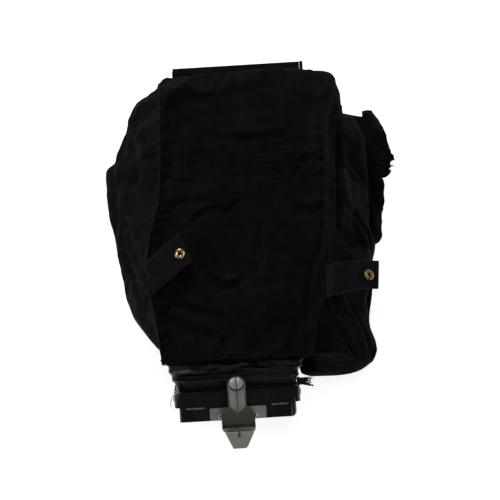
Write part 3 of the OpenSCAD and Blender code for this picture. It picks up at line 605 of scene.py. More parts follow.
# hole ring at the same columns
tt = []
for n, idx in PANELS:
    a = idx[0]; span = len(idx) - 1
    tt += [a + span * j / NCOL[n] for j in range(NCOL[n])]
hole = np.array([around(HOLE, t) for t in tt])
hole3 = C(hole[:, 0], 102, hole[:, 1])
front = []
for j in range(NFRONT):
    f = j / NFRONT
    p = hole3 * (1 - f) + main[0] * f
    bow = -0.16 * f * (1 - f) * np.linalg.norm(main[0] - hole3, axis=1)
    p = p + np.stack([0 * bow, bow, 0 * bow], axis=1)
    front.append(p)
base = np.concatenate([np.array(front), main], axis=0)                    # (NFRONT + rows) × NU × 3
base[..., 2] = np.maximum(base[..., 2], 0.9)
NV = base.shape[0]
seam_u = {k: starts[n] for k, n in ((0, "left"), (3, "top"), (7, "right"), (10, "bottom"))}

ui = np.arange(NU)


def seam_dist(g):
    """distance along the row to the nearest seam column, in mm"""
    dl = np.linalg.norm(np.roll(g, -1, axis=1) - g, axis=2)
    s = np.concatenate([np.zeros((g.shape[0], 1)), np.cumsum(dl, axis=1)], axis=1)
    tot = s[:, -1:]
    s = s[:, :-1]
    best = np.full(s.shape, 1e9)
    for u in seam_u_of(g.shape[1]):
        d = np.abs(s - s[:, u:u + 1]); d = np.minimum(d, tot - d); best = np.minimum(best, d)
    return best


def seam_u_of(nu):
    f = nu // NU
    return [u * f for u in seam_u.values()]


def panel_mask(nu):
    f = nu // NU
    m = {}
    for n, _ in PANELS:
        a = np.zeros(nu, bool); a[starts[n] * f:(starts[n] + NCOL[n]) * f + 1] = True; m[n] = a
    return m


nrm0 = normals_of(base, closed_u=True)
# make the normals point out of the bag
cen = base.reshape(-1, 3).mean(axis=0)
if np.sum((base - cen) * nrm0) < 0:
    nrm0 = -nrm0


def groove(x, y, pts, w, depth, end=0.25):
    """a soft crease along a line of points: a valley with a low lip beside it"""
    p = np.asarray(pts, float)
    best = np.full(x.shape, 1e9); side = np.zeros(x.shape); tpos = np.zeros(x.shape)
    L = np.r_[0, np.cumsum(np.linalg.norm(np.diff(p, axis=0), axis=1))]
    for i in range(len(p) - 1):
        a, b = p[i], p[i + 1]; d = b - a; ll = d @ d
        t = np.clip(((x - a[0]) * d[0] + (y - a[1]) * d[1]) / ll, 0, 1)
        dx, dy = x - a[0] - t * d[0], y - a[1] - t * d[1]
        r = np.hypot(dx, dy); c = d[0] * dy - d[1] * dx
        m = r < best
        best = np.where(m, r, best); side = np.where(m, np.sign(c) * r, side); tpos = np.where(m, (L[i] + t * (L[i + 1] - L[i])) / L[-1], tpos)
    taper = np.clip(np.minimum(tpos, 1 - tpos) / end, 0, 1) ** 0.7
    k = side / w
    return depth * taper * (-np.exp(-k * k) + 0.55 * np.exp(-((k - 1.9) ** 2)))


def bump(x, y, cx, cy, rx, ry, h, ang=0):
    a = math.radians(ang); dx, dy = x - cx, y - cy
    u, v = dx * math.cos(a) + dy * math.sin(a), -dx * math.sin(a) + dy * math.cos(a)
    return h * np.exp(-(u / rx) ** 2 - (v / ry) ** 2)


def folds(g, nu_f, fine=False):
    """displacement of the cloth in mm along its outward normal, on grid g"""
    X, Y, Z = g[..., 0], g[..., 1], g[..., 2]
    nu = g.shape[1]
    m = panel_mask(nu)
    d = np.zeros(X.shape)
    sd = seam_dist(g)
    edge = smooth(sd, 0, 26)
    top = m["top"][None, :]; left = m["left"][None, :]; right = m["right"][None, :]
    if not fine:
        t = 0
        # broad sag and swells of the top
        t = t + bump(X, Y, 30, 250, 85, 60, -5) + bump(X, Y, 110, 300, 40, 90, 4) + bump(X, Y, -40, 340, 34, 60, 4.5, 20)
        t = t + bump(X, Y, 20, 330, 22, 60, -5, 8) + bump(X, Y, 70, 190, 60, 26, 4) + bump(X, Y, -60, 180, 40, 24, -3.5)
        t = t + bump(X, Y, 130, 410, 24, 70, -5) + bump(X, Y, 30, 560, 90, 24, -3.5)
        t = t + bump(X, Y, -45, 455, 17, 20, -6.5) + bump(X, Y, -80, 430, 16, 60, 3.5) + bump(X, Y, -62, 575, 22, 26, -4)
        t = t + bump(X, Y, 128, 352, 16, 13, -5) + bump(X, Y, 150, 260, 14, 40, 3)
        # creases
        t = t + groove(X, Y, [(-45, 245), (-28, 232), (-10, 224), (12, 228), (22, 238)], 5.0, 6.0)
        t = t + groove(X, Y, [(-62, 330), (-50, 352), (-28, 366), (-6, 368), (14, 352)], 6.0, 4.0)
        t = t + groove(X, Y, [(-35, 545), (-20, 520), (0, 504), (40, 498), (80, 500), (120, 508)], 7.0, 4.2)
        t = t + groove(X, Y, [(-112, 195), (-80, 190), (-40, 172), (-12, 160)], 7.0, 3.6)
        t = t + groove(X, Y, [(-78, 575), (-66, 548), (-58, 520)], 5.0, 3.6)
        t = t + groove(X, Y, [(60, 340), (58, 300), (50, 262), (40, 238)], 9.0, 3.4)
        t = t + groove(X, Y, [(150, 460), (128, 440), (112, 405)], 6.0, 3.2)
        t = t + groove(X, Y, [(96, 210), (112, 180), (122, 150)], 6.0, 3.0)
        t = t + groove(X, Y, [(-62, 470), (-48, 478), (-34, 470), (-26, 452)], 3.4, 3.4) + groove(X, Y, [(-60, 446), (-44, 438), (-24, 440)], 3.4, 3.0)
        d = np.where(top, d + t * edge, d)
        # left side: two long folds and the slack pouch below
        s = groove(Y, Z, [(330, 30), (380, 52), (450, 62), (520, 52), (560, 40)], 9, 5.5)
        s = s + groove(Y, Z, [(210, 96), (262, 82), (318, 60), (345, 34)], 8, 4.5) + groove(Y, Z, [(470, 92), (520, 74), (566, 62)], 7, 4)
        s = s + bump(Y, Z, 430, 30, 60, 20, 4) + bump(Y, Z, 300, 78, 44, 18, -4)
        d = np.where(left, d + s * edge, d)
        # right side
        s = groove(Y, Z, [(118, 20), (150, 46), (182, 76), (214, 100)], 6, 4.5) + groove(Y, Z, [(300, 40), (340, 60), (372, 88)], 7, 4.5)
        s = s + groove(Y, Z, [(420, 30), (450, 62), (470, 96)], 8, 4.0) + bump(Y, Z, 400, 66, 40, 26, -5) + bump(Y, Z, 520, 56, 40, 20, 4) + bump(Y, Z, 190, 40, 26, 22, 4)
        s = s + groove(Y, Z, [(240, 20), (262, 50), (270, 84)], 6, 3.5)
        d = np.where(right, d + s * edge, d)
    else:
        # fine cross pleats of the top, worn soft
        t = np.zeros(X.shape)
        for k, (yc, x0, x1) in enumerate([(388, 0, 118), (399, -34, 126), (409, -48, 132), (419, -10, 134), (430, 2, 136), (441, 6, 138), (452, -4, 136), (464, 0, 130), (476, 4, 128), (489, 14, 120)]):
            yy = yc + 2.2 * vnoise(X / 46 + k * 3.1, np.zeros(X.shape) + k, 31) + 0.02 * (X - 60)
            a = smooth(X, x0 - 12, x0 + 12) * (1 - smooth(X, x1 - 14, x1 + 12))
            t = t + a * (2.3 * np.exp(-((Y - yy) / 2.9) ** 2) - 1.2 * np.exp(-((Y - yy + 4.6) / 2.6) ** 2))
        d = np.where(top, d + t * edge, d)
        # puckers drawn in by the stitching
        L = np.cumsum(np.r_[0, np.linalg.norm(np.diff(g[:, 0], axis=0), axis=1)])[:, None] + 0 * X
        pk = np.sin(L / 6.1 + 2.2 * vnoise(L / 40, X / 60, 5)) * (0.6 + 0.5 * vnoise(L / 23, X / 90, 9))
        d = d + 0.8 * pk * np.exp(-(sd / 11.0) ** 2) * smooth(sd, 0, 4)
        # small crumple all over
        d = d + 0.55 * fbm(X / 21 + Z / 17, Y / 19 + Z / 23, 3, 3) * edge + 0.3 * fbm(X / 7 + Z / 6, Y / 7, 13, 2) * edge
    return d


pre = folds(base, 1)
fade_ends = smooth(np.arange(NV), NFRONT - 4, NFRONT + 5)[:, None] * (1 - smooth(np.arange(NV), NV - 7, NV - 2))[:, None]
base2 = base + nrm0 * (pre * fade_ends)[..., None] * 1.15
fr_n = fbm(np.arange(NU)[None, :] / 4.0, np.arange(NV)[:, None] / 3.0, 41, 2)
fr_mask = np.zeros((NV, 1)); fr_mask[1:NFRONT] = 1
base2 = base2 + nrm0 * (fr_n * fr_mask * 2.2)[..., None]
base2[..., 2] = np.maximum(base2[..., 2], 0.9)


# ------------------------------------------------------------------ cloth simulation of the whole shell
def simulate(g):
    verts = M(g.reshape(-1, 3))
    o = add_mesh("shell_sim", verts, grid_faces(g.shape[0], NU, True), None, None)
    vg = o.vertex_groups.new(name="pin")
    w = np.zeros((NV, NU))
    for u in seam_u.values():
        w[:, u] = 1.0
    w[:2] = 1; w[-3:] = 1
    w[NFRONT - 1:NFRONT + 1] = np.maximum(w[NFRONT - 1:NFRONT + 1], 0.75)
    bot = panel_mask(NU)["bottom"]
    w[:, bot] = 1.0
    # the cloth under each strap's base stays put
    X, Y = g[..., 0], g[..., 1]
    w = np.maximum(w, 0.9 * np.exp(-(((X + 124) / 26) ** 2 + ((Y - 245) / 30) ** 2)))
    for i, val in enumerate(w.ravel()):
        if val > 0.01:
            vg.add([i], float(min(1, val)), "REPLACE")
    c = o.modifiers.new("cloth", "CLOTH")
    s = c.settings
    s.quality = 6; s.mass = 0.25; s.air_damping = 4.0
    s.tension_stiffness = 22; s.compression_stiffness = 18; s.shear_stiffness = 6; s.bending_stiffness = 0.6
    s.tension_damping = 12; s.compression_damping = 12; s.shear_damping = 8; s.bending_damping = 1.0
    s.vertex_group_mass = "pin"; s.pin_stiffness = 1.0
    s.shrink_min = -0.045
    s.use_pressure = True; s.uniform_pressure_force = 0.25
    s.effector_weights.gravity = 0.06
    c.collision_settings.use_collision = False
    c.collision_settings.use_self_collision = False
    sc = bpy.context.scene
    for f in range(1, 21):
        sc.frame_set(f)
    dg = bpy.context.evaluated_depsgraph_get()
    me = o.evaluated_get(dg).to_mesh()
    out = np.empty(len(me.vertices) * 3); me.vertices.foreach_get("co", out)
    out = out.reshape(NV, NU, 3) * 1000.0 - SH
    sc.frame_set(1)
    bpy.data.objects.remove(o, do_unlink=True)
    return out


settled = simulate(base2)
move = settled - base2
ln = np.linalg.norm(move, axis=2, keepdims=True)
cap = 11.0
move = np.where(ln > cap, move / np.maximum(ln, 1e-9) * cap, move)
# outward motion is held back where straps, cuff and flap lie close to the cloth
out_n = np.sum(move * nrm0, axis=2)
X, Y, Z = base[..., 0], base[..., 1], base[..., 2]
near = np.maximum.reduce([np.exp(-(((X + 100) / 62) ** 2 + ((Y - 262) / 58) ** 2) ** 2) * (Z > 90),
                          np.exp(-(((X - 190) / 45) ** 2 + ((Y - 216) / 46) ** 2) ** 2) * (Z > 30),
                          np.exp(-((Y - 96) / 26) ** 2) * (Z > 40)])
pm = panel_mask(NU)
region = np.full(base.shape[:2], 7.5)
region[:, pm["left"]] = 2.4
region[:, pm["right"]] = np.where(Y[:, pm["right"]] > 520, 0.8, 4.0)
limit = region * (1 - near) + 0.6 * near
excess = np.maximum(out_n - limit, 0)
move = move - nrm0 * excess[..., None]
cloth = base2 + move
cloth[..., 2] = np.maximum(cloth[..., 2], 0.9)


def refine(g):
    """doubles the grid both ways with Catmull-Rom in v and u, seams kept sharp"""
    nv, nu = g.shape[:2]
    e0 = 2 * g[:1] - g[1:2]; e1 = 2 * g[-1:] - g[-2:-1]
    p = np.concatenate([e0, g, e1])
    mid = cr(p[:-3], p[1:-2], p[2:-1], p[3:], 0.5)
    a = np.empty((2 * nv - 1, nu, 3)); a[::2] = g; a[1::2] = mid
    out = np.empty((2 * nv - 1, 2 * nu, 3))
    seams = sorted(u * (nu // NU) for u in seam_u.values())
    seams.append(seams[0] + nu)
    for s0, s1 in zip(seams[:-1], seams[1:]):
        idx = [(s % nu) for s in range(s0, s1 + 1)]
        q = a[:, idx]
        q = np.concatenate([2 * q[:, :1] - q[:, 1:2], q, 2 * q[:, -1:] - q[:, -2:-1]], axis=1)
        mq = cr(q[:, :-3], q[:, 1:-2], q[:, 2:-1], q[:, 3:], 0.5)
        for j in range(s1 - s0):
            out[:, (2 * (s0 + j)) % (2 * nu)] = a[:, (s0 + j) % nu]
            out[:, (2 * (s0 + j) + 1) % (2 * nu)] = mq[:, j]
    return out


fineg = refine(cloth)
NV2, NU2 = fineg.shape[:2]
nf = normals_of(fineg, True)
if np.sum((fineg - cen) * nf) < 0:
    nf = -nf
fd = folds(fineg, 2, fine=True)
fe = smooth(np.arange(NV2), 2 * NFRONT, 2 * NFRONT + 6)[:, None] * (1 - smooth(np.arange(NV2), NV2 - 12, NV2 - 4))[:, None]
fineg = fineg + nf * (fd * fe)[..., None]
SE, CE = math.sin(math.radians(69)), math.cos(math.radians(69))


def seen(g):
    """height of a point in the three-quarter view from the neck end, in mm"""
    return g[..., 1] * SE + (g[..., 2] - 77) * CE


def P(x, y):
    """a place in that view, counted in steps of 1.714 mm from its upper left corner, as (across, height)"""
    c, s_ = math.cos(math.radians(3.45)), math.sin(math.radians(3.45))
    u, v = (x - 250), (250 - y)
    return ((u * c + v * s_) / 0.5834 + 36.75, (-u * s_ + v * c) / 0.5834 + 306.37 * SE)


LEFT_OUT = np.array([[105, -114], [125, -119], [140, -122], [155, -133], [170, -144], [185, -154], [200, -163], [215, -171], [230, -175], [245, -180], [260, -182], [275, -183], [290, -186],
    [305, -188], [320, -191], [335, -192], [350, -193], [365, -195], [380, -198], [395, -202], [410, -203], [425, -204], [440, -205], [455, -204], [470, -205], [484, -204], [490, -201],
    [495, -190], [500, -187], [515, -184], [530, -177], [545, -171], [560, -167], [575, -161], [590, -155], [605, -146], [620, -127], [632, -108], [640, -95]], float)
RIGHT_OUT = np.array([[100, 216], [107.6, 222], [122.6, 236], [137.6, 241], [152.6, 240], [167.6, 235], [182.6, 231], [197.6, 231], [212.6, 233], [227.6, 236], [242.6, 239], [270, 241], [290, 242], [303, 244], [317, 248], [332, 251], [350, 249]], float)
FRONT_OUT = np.array([[106, 74], [112, 70], [124, 66], [140, 63], [156, 62.5], [172, 62], [188, 63], [204, 66], [212, 69], [220, 73], [228, 80], [236, 88]], float)


def soft3(a, n=1):
    for _ in range(n):
        a = np.convolve(np.r_[a[0], a, a[-1]], [0.25, 0.5, 0.25], "valid")
    return a


def fit_outline(g):
    """the bag as it lies: how far its left foot, its front right corner and the lip beside the neck reach"""
    g = g.copy()
    ut, ur, ub = 2 * seam_u[3], 2 * seam_u[7], 2 * seam_u[10]
    F = 2 * NFRONT
    rows = g[F:]
    # left foot
    X = rows[:, :ut + 1, 0]; j = X.argmin(axis=1); r = np.arange(len(rows))
    dx = np.clip(np.interp(rows[r, j, 1], LEFT_OUT[:, 0], LEFT_OUT[:, 1]) - X[r, j], -7, 15)
    dx = soft3(dx) * (1 - smooth(r, len(r) - 9, len(r) - 2))
    wl = 1 - smooth(np.linspace(0, 1, ut + 1), 0.40, 0.97)
    g[F:, :ut + 1, 0] += dx[:, None] * wl[None, :]
    bx = rows[:, ub:, 0]; wb = 1 - smooth(bx - rows[:, :1, 0], 0, 80)
    g[F:, ub:, 0] += dx[:, None] * np.clip(wb, 0, 1)
    f = np.arange(F)[:, None] / F
    g[:F, :ut + 1, 0] += dx[0] * wl[None, :] * f ** 0.7
    # front right corner
    X = g[F:, ub, 0]; Yb = g[F:, ub, 1]
    dx = np.where(Yb < 362, np.clip(np.interp(Yb, RIGHT_OUT[:, 0], RIGHT_OUT[:, 1]) - X, -6, 16), 0) * (1 - smooth(Yb, 330, 360))
    dx = soft3(dx, 2)
    wr = smooth(np.linspace(0, 1, ub - ur + 1), 0.25, 0.85)
    g[F:, ur:ub + 1, 0] += dx[:, None] * wr[None, :]
    bx = g[F:, ub + 1:, 0]; wb = 1 - smooth(g[F:, ub:ub + 1, 0] - bx, 0, 80)
    g[F:, ub + 1:, 0] += dx[:, None] * np.clip(wb, 0, 1)
    g[:F, ur:ub + 1, 0] += dx[0] * wr[None, :] * f ** 0.8
    g[:F, ub + 1:, 0] += dx[0] * np.clip(1 - smooth(g[:F, ub:ub + 1, 0] - g[:F, ub + 1:, 0], 0, 60), 0, 1) * f ** 0.8
    # rear right corner: the gusset stands close above the foot's square end
    blk = g[F:, ur:ub + 50]
    over = np.maximum(blk[..., 0] - 208.5, 0) * smooth(seen(blk), 505.5, 511) * (1 - smooth(seen(blk), 560, 580))
    blk[..., 0] -= over
    # lip beside the neck
    h = g[:F + 10]; V = seen(h)
    xs = np.arange(106, 240, 6.0); cur = []
    for x in xs:
        m_ = np.abs(h[..., 0] - x) < 5
        cur.append(V[m_].min() if m_.any() else np.nan)
    cur = np.array(cur); ok = ~np.isnan(cur)
    want = np.interp(xs, FRONT_OUT[:, 0], FRONT_OUT[:, 1])
    dv = soft3(np.interp(xs, xs[ok], (want - cur)[ok]), 2)
    dy = np.clip(np.interp(g[..., 0], xs, dv), -34, 8) / SE
    wx = smooth(g[..., 0], 104, 118)
    k = np.arange(g.shape[0])[:, None]
    wk = smooth(k, 0.2, 4.5) * (1 - smooth(k, F + 1, F + 16))
    wz = np.exp(-(np.maximum(g[..., 2] - 30, 0) / 34) ** 2)
    g[..., 1] += dy * wx * wk * wz
    g[:F, :, 0] -= 14.0 * (smooth(k, 0.5, 4) * (1 - smooth(k, 7, F)) * wz * np.exp(-((g[..., 0] - 140) / 24) ** 2))[:F]
    return g


fineg = fit_outline(fineg)
# creases, tucks and ridges where the view shows them
pmk = panel_mask(NU2)
XS, VS = fineg[..., 0], seen(fineg)
shape = np.zeros(XS.shape)
topr = (pmk["top"] | pmk["right"])[None, :] & (np.arange(NV2)[:, None] >= 2 * NFRONT - 1)
tp = pmk["top"][None, :] & (np.arange(NV2)[:, None] >= 2 * NFRONT + 2)
rt = pmk["right"][None, :]
lf = pmk["left"][None, :]
for mask_, pts_, w_, dpt in (
        (tp, [P(206, 272), P(222, 284), P(240, 284)], 4.5, 4.6), (tp, [P(214, 262), P(216, 276)], 3.5, 2.6),
        (tp, [P(182, 152), P(184, 174), P(190, 178)], 3.2, 3.4), (tp, [P(184, 150), P(214, 152)], 3.0, 3.0), (tp, [P(190, 176), P(213, 166), P(216, 152)], 3.2, 3.0),
        (tp, [P(212, 108), P(220, 126), P(238, 138), P(250, 141)], 6.5, 3.0), (tp, [P(168, 92), P(182, 118), P(196, 124)], 6.0, 3.6),
        (tp, [P(213, 205), P(226, 212), P(240, 200)], 5.5, 3.8), (tp, [P(165, 205), P(205, 200), P(232, 206)], 6.0, 3.4),
        (tp, [P(300, 205), P(313, 214), P(318, 230)], 5.5, 4.4), (tp, [P(322, 236), P(312, 270), P(309, 300), P(306, 350)], 6.0, 4.2),
        (tp, [P(262, 290), P(252, 318), P(262, 345)], 8.0, 3.0), (tp, [P(163, 318), P(190, 330), P(232, 345)], 7.0, 3.4),
        (tp, [P(146, 298), P(180, 312), P(216, 330)], 8.0, -3.2), (tp, [P(320, 100), P(323, 150), P(323, 220), P(320, 262)], 5.0, 5.0), (tp, [P(328, 90), P(329, 150), P(329, 210), P(326, 262), P(318, 310), P(311, 345)], 3.6, -4.0),
        (tp, [P(250, 170), P(312, 170)], 2.6, 2.6), (tp, [P(160, 178), P(178, 182), P(212, 180)], 3.4, 2.6),
        (rt, [P(333, 316), P(347, 342), P(362, 370)], 3.4, 4.4), (rt, [P(324, 308), P(340, 312), P(356, 305)], 5.0, 4.6),
        (rt, [P(345, 248), P(356, 240), P(366, 244)], 4.0, 3.4), (rt, [P(336, 130), P(352, 146), P(364, 142)], 5.0, 3.4),
        (rt, [P(340, 196), P(352, 214), P(366, 214)], 5.0, 3.0), (rt, [P(344, 152), P(346, 200), P(350, 236)], 6.0, -3.0), (rt, [P(337, 118), P(338, 160), P(338, 205), P(336, 240)], 4.0, 5.0),
        (lf, [P(120, 118), P(134, 150), P(139, 190)], 7.0, 4.4), (lf, [P(112, 205), P(128, 226), P(146, 236)], 6.0, 4.2),
        (lf, [P(122, 262), P(136, 280), P(146, 300)], 6.0, 4.0), (lf, [P(130, 130), P(148, 152), P(154, 188)], 5.0, -3.0)):
    shape = np.where(mask_, shape + groove(XS, VS, pts_, w_, dpt), shape)
seamfade = smooth(seam_dist(fineg), 0.5, 6)
keep_near = np.exp(-(((fineg[..., 0] + 100) / 50) ** 2 + ((fineg[..., 1] - 262) / 46) ** 2) ** 2) * (fineg[..., 2] > 90) + np.exp(-(((fineg[..., 0] - 195) / 48) ** 2 + ((fineg[..., 1] - 216) / 38) ** 2) ** 2)
shape = np.clip(shape, -7, 4) * seamfade * (1 - 0.8 * np.clip(keep_near, 0, 1)) * fe
fineg = fineg + nf * shape[..., None]
fineg[..., 2] = np.maximum(fineg[..., 2], 0.8)
nf = normals_of(fineg, True)
if np.sum((fineg - cen) * nf) < 0:
    nf = -nf

CLOTH_T = 1.3
REST_ON = ["bottom_panel"]
shell_pieces = {}
for name, idx in PANELS:
    a = 2 * starts[name]; cnt = 2 * NCOL[name]
    cols_i = [(a + j) % NU2 for j in range(cnt + 1)]
    g = fineg[2 * NFRONT:, cols_i]
    # outer face first: the slab's inner side must be inward
    gg = g
    nn = normals_of(gg)
    if np.sum(nn * nf[2 * NFRONT:, cols_i]) < 0:
        gg = g[:, ::-1]
    o = slab({"left": "left_side_cloth", "top": "top_cloth", "right": "right_side_cloth", "bottom": "bottom_cloth"}[name], gg, CLOTH_T, CLOTH)
    node = {"left": "left_gusset", "top": "top_panel", "right": "right_gusset", "bottom": "bottom_panel"}[name]
    piece(o, "bag", "woven_cloth", node)
    e = gg
    w = np.linalg.norm(np.diff(e, axis=1), axis=2).sum(axis=1); l = np.linalg.norm(np.diff(e, axis=0), axis=2).sum(axis=0)
    W, L = w.max() / 1000, l.max() / 1000
    shell_pieces[name] = o
g = fineg[:2 * NFRONT + 1]
nn = normals_of(g, True)
if np.sum(nn * nf[:2 * NFRONT + 1]) < 0:
    g = g[:, ::-1]
o = slab("front_cloth", g, CLOTH_T, CLOTH, closed_u=True)
piece(o, "bag", "woven_cloth", "front_panel")
wd = np.ptp(g[..., 0]) / 1000

# ------------------------------------------------------------------ seams: folded tape, with a stitched line each side
def seam_line(k):
    u = 2 * seam_u[k]
    p = fineg[2 * NFRONT:, u]
    a = fineg[2 * NFRONT:, (u + 2) % NU2] - p; b = fineg[2 * NFRONT:, (u - 2) % NU2] - p
    out = -unit(unit(a) + unit(b))
    o2 = nf[2 * NFRONT:, u]
    flip = np.sum(out * o2, axis=1) < 0
    out[flip] = o2[flip]
    for _ in range(6):
        out = unit(out + 0.5 * np.roll(out, 1, 0) + 0.5 * np.roll(out, -1, 0))
    return p, out


def tape(name, p, out, closed=False, wide=3.4, thick=1.55):
    p = np.asarray(p); n = len(p)
    L = np.r_[0, np.cumsum(np.linalg.norm(np.diff(p, axis=0), axis=1))]
    wob = 0.5 * np.sin(L / 5.3 + 2 * vnoise(L / 30, L * 0, 77)) * (0.6 + 0.4 * vnoise(L / 17, L * 0, 78))
    d = unit(np.gradient(p, axis=0)); side = np.cross(d, out)
    q = p + out * 0.5 + side * wob[:, None] * 0.6
    q[:, 2] = np.maximum(q[:, 2], wide + 0.5)
    sec = ellipse(thick, wide, 14, power=0.8)
    return sweep(name, q, sec, BIND, closed=closed, up=out, scale=1 + 0.06 * wob)


def dense(p, out, step=1.6):
    p = np.asarray(p); L = np.r_[0, np.cumsum(np.linalg.norm(np.diff(p, axis=0), axis=1))]
    t = np.linspace(0, L[-1], max(4, int(L[-1] / step)))
    return (np.stack([np.interp(t, L, p[:, k]) for k in range(3)], 1), unit(np.stack([np.interp(t, L, out[:, k]) for k in range(3)], 1)))


def join(name, objs):
    for x in bpy.context.selected_objects:
        x.select_set(False)
    for x in objs:
        x.select_set(True)
    bpy.context.view_layer.objects.active = objs[0]
    bpy.ops.object.join()
    objs[0].name = name; objs[0].data.name = name
    return objs[0]


def stitch_rows(name, k, offs=(5.2,)):
    """thread rows in the cloth beside seam k, on both sides"""
    objs = []
    for sgn in (1, -1):
        for off in offs:
            u = 2 * seam_u[k]
            rows = fineg[2 * NFRONT:]; nr = nf[2 * NFRONT:]
            pts = []; ups = []
            for r in range(rows.shape[0]):
                a = rows[r, u]; s = 0; j = 0
                while s < off and j < 8:
                    b = rows[r, (u + sgn * (j + 1)) % NU2]; dl = np.linalg.norm(b - a)
                    if s + dl >= off:
                        f = (off - s) / dl; pts.append(a + (b - a) * f); ups.append(nr[r, (u + sgn * (j + 1)) % NU2]); break
                    s += dl; a = b; j += 1
                else:
                    pts.append(a); ups.append(nr[r, (u + sgn * j) % NU2])
            p, q = dense(pts, np.array(ups), 2.0)
            objs.append(stitches(f"{name}_{sgn}", p + q * 0.15, THREAD, up=q))
    return join(name, objs)


for name, ks, node in (("top_seam_tape", (3, 7), "top_seam_binding"), ("bottom_seam_tape", (0, 10), "bottom_seam_binding")):
    objs = []
    for k in ks:
        p, out = seam_line(k)
        p, out = dense(p[:-2], out[:-2])
        objs.append(tape(f"{name}_{k}", p, out))
    o = piece(join(name, objs), "bag", "binding", node)
for name, k in (("top_left_stitches", 3), ("top_right_stitches", 7)):
    piece(stitch_rows(name, k), "bag", "binding")
piece(stitch_rows("bottom_left_stitches", 0), "bag", "binding")
piece(stitch_rows("bottom_right_stitches", 10), "bag", "binding")

def on_view(path):
    """points of the upper cloth under a line drawn in the three-quarter view"""
    F = 2 * NFRONT
    pts = fineg[F:].reshape(-1, 3); nn_ = nf[F:].reshape(-1, 3)
    front_ = (nn_[:, 1] * -CE + nn_[:, 2] * SE) > 0.15
    pts, nn_ = pts[front_], nn_[front_]
    XV = np.stack([pts[:, 0], pts[:, 1] * SE + (pts[:, 2] - 77) * CE], 1)
    out, up_ = [], []
    for q in path:
        d2 = ((XV - q) ** 2).sum(1); j_ = np.argsort(d2)[:6]; w_ = 1 / (d2[j_] + 1.0)
        a_ = (pts[j_] * w_[:, None]).sum(0) / w_.sum()
        off_ = np.array([q[0] - a_[0], 0, 0]); out.append(a_ + off_); up_.append((nn_[j_] * w_[:, None]).sum(0))
    out = np.array(out); up_ = unit(np.array(up_))
    for _ in range(3):
        out[1:-1] = 0.25 * out[:-2] + 0.5 * out[1:-1] + 0.25 * out[2:]
        up_[1:-1] = unit(up_[:-2] + 2 * up_[1:-1] + up_[2:])
    return out, up_


def pathpx(pts, n):
    q = np.array([P(*a_) for a_ in pts]); L_ = np.r_[0, np.cumsum(np.linalg.norm(np.diff(q, axis=0), axis=1))]
    t_ = np.linspace(0, L_[-1], n)
    return np.stack([np.interp(t_, L_, q[:, 0]), np.interp(t_, L_, q[:, 1])], 1)


dp, du = on_view(pathpx([(334, 315), (341, 331), (349, 346), (361, 367)], 44))
dp, du = dense(dp, du, 1.8)
gs = [sweep("gusset_fell", dp + du * 0.25, ellipse(0.55, 1.15, 10), BIND, up=du)]
for off_px in (2.6,):
    sp_, su_ = on_view(pathpx([(334 + off_px, 315), (341 + off_px, 331), (349 + off_px, 346), (361 + off_px, 366)], 44))
    sp_, su_ = dense(sp_, su_, 2.0)
    gs.append(stitches("gusset_fell_st", sp_ + su_ * 0.3, THREAD, up=su_))
piece(join("gusset_seam", gs), "bag", "binding")

ringp = fineg[2 * NFRONT]
inn = fineg[2 * NFRONT - 2]; aft = fineg[2 * NFRONT + 2]
ro = -unit(unit(inn - ringp) + unit(aft - ringp))
bad = np.sum(ro * nf[2 * NFRONT], axis=1) < 0
ro[bad] = nf[2 * NFRONT][bad]
for _ in range(8):
    ro = unit(ro + 0.5 * np.roll(ro, 1, 0) + 0.5 * np.roll(ro, -1, 0))
rp = ringp.copy(); rp[:, 2] = np.maximum(rp[:, 2], 2.2)
pp = np.vstack([rp, rp[:1]]); oo = np.vstack([ro, ro[:1]])
pp, oo = dense(pp, oo, 2.2)
o = tape("front_seam_tape", pp[:-1] - oo[:-1] * 0.7, oo[:-1], closed=True, wide=1.9, thick=1.3)
piece(o, "bag", "binding", "front_seam_binding")

# ------------------------------------------------------------------ neck: hem tape of the hole, glossy cuff
def rrect_ring(x0, x1, n0, n1, r, N):
    """rounded rectangle by arc length, from the lower left corner up the left side, across the top, down the right"""
    pts = []
    for cx, cy, a0 in ((x0 + r, n0 + r, 270), (x0 + r, n1 - r, 180), (x1 - r, n1 - r, 90), (x1 - r, n0 + r, 0)):
        for a in np.linspace(0, 90, 9):
            t = math.radians(a0 - a); pts.append((cx + r * math.cos(t), cy + r * math.sin(t)))
    pts = np.array(pts + pts[:1])
    d = np.r_[0, np.cumsum(np.linalg.norm(np.diff(pts, axis=0), axis=1))]
    t = np.linspace(0, d[-1], N, endpoint=False)
    return np.stack([np.interp(t, d, pts[:, 0]), np.interp(t, d, pts[:, 1])], axis=1)


NC = 260
CUFF = [(52.5, -102, 102, -87.6, 2.5, 10), (61, -102, 102, -87.6, 2.5, 10), (70, -107, 105, -89.5, 8, 14), (78, -110, 108, -88.6, 5.5, 14),
        (86, -113, 112, -86.5, 9, 14), (94, -114, 116, -84, 4.5, 14), (100, -113, 117, -80, -2.5, 14), (106, -111, 115, -78, -5, 14)]
tab = np.array(CUFF, float)
ss = np.concatenate([np.linspace(52.5, 61, 6)[:-1], np.linspace(61, 106, 44)])
rings = []
for s in ss:
    i = np.interp(s, tab[:, 0], np.arange(len(tab)))
    q = along(tab, i)
    ring = rrect_ring(q[1], q[2], q[3], q[4], max(4, q[5]), NC)
    rings.append(ring)
rings = np.array(rings)                        # rows × NC × (x, n)
mid = np.array([[(r[:, 0].min() + r[:, 0].max()) / 2, (r[:, 1].min() + r[:, 1].max()) / 2] for r in rings])
outd = unit(np.stack([np.roll(rings[..., 1], -1, 1) - np.roll(rings[..., 1], 1, 1), -(np.roll(rings[..., 0], -1, 1) - np.roll(rings[..., 0], 1, 1))], axis=-1))
if np.sum(outd * (rings - mid[:, None])) < 0:
    outd = -outd
S = ss[:, None] + 0 * rings[..., 0]
XX, NN = rings[..., 0], rings[..., 1]
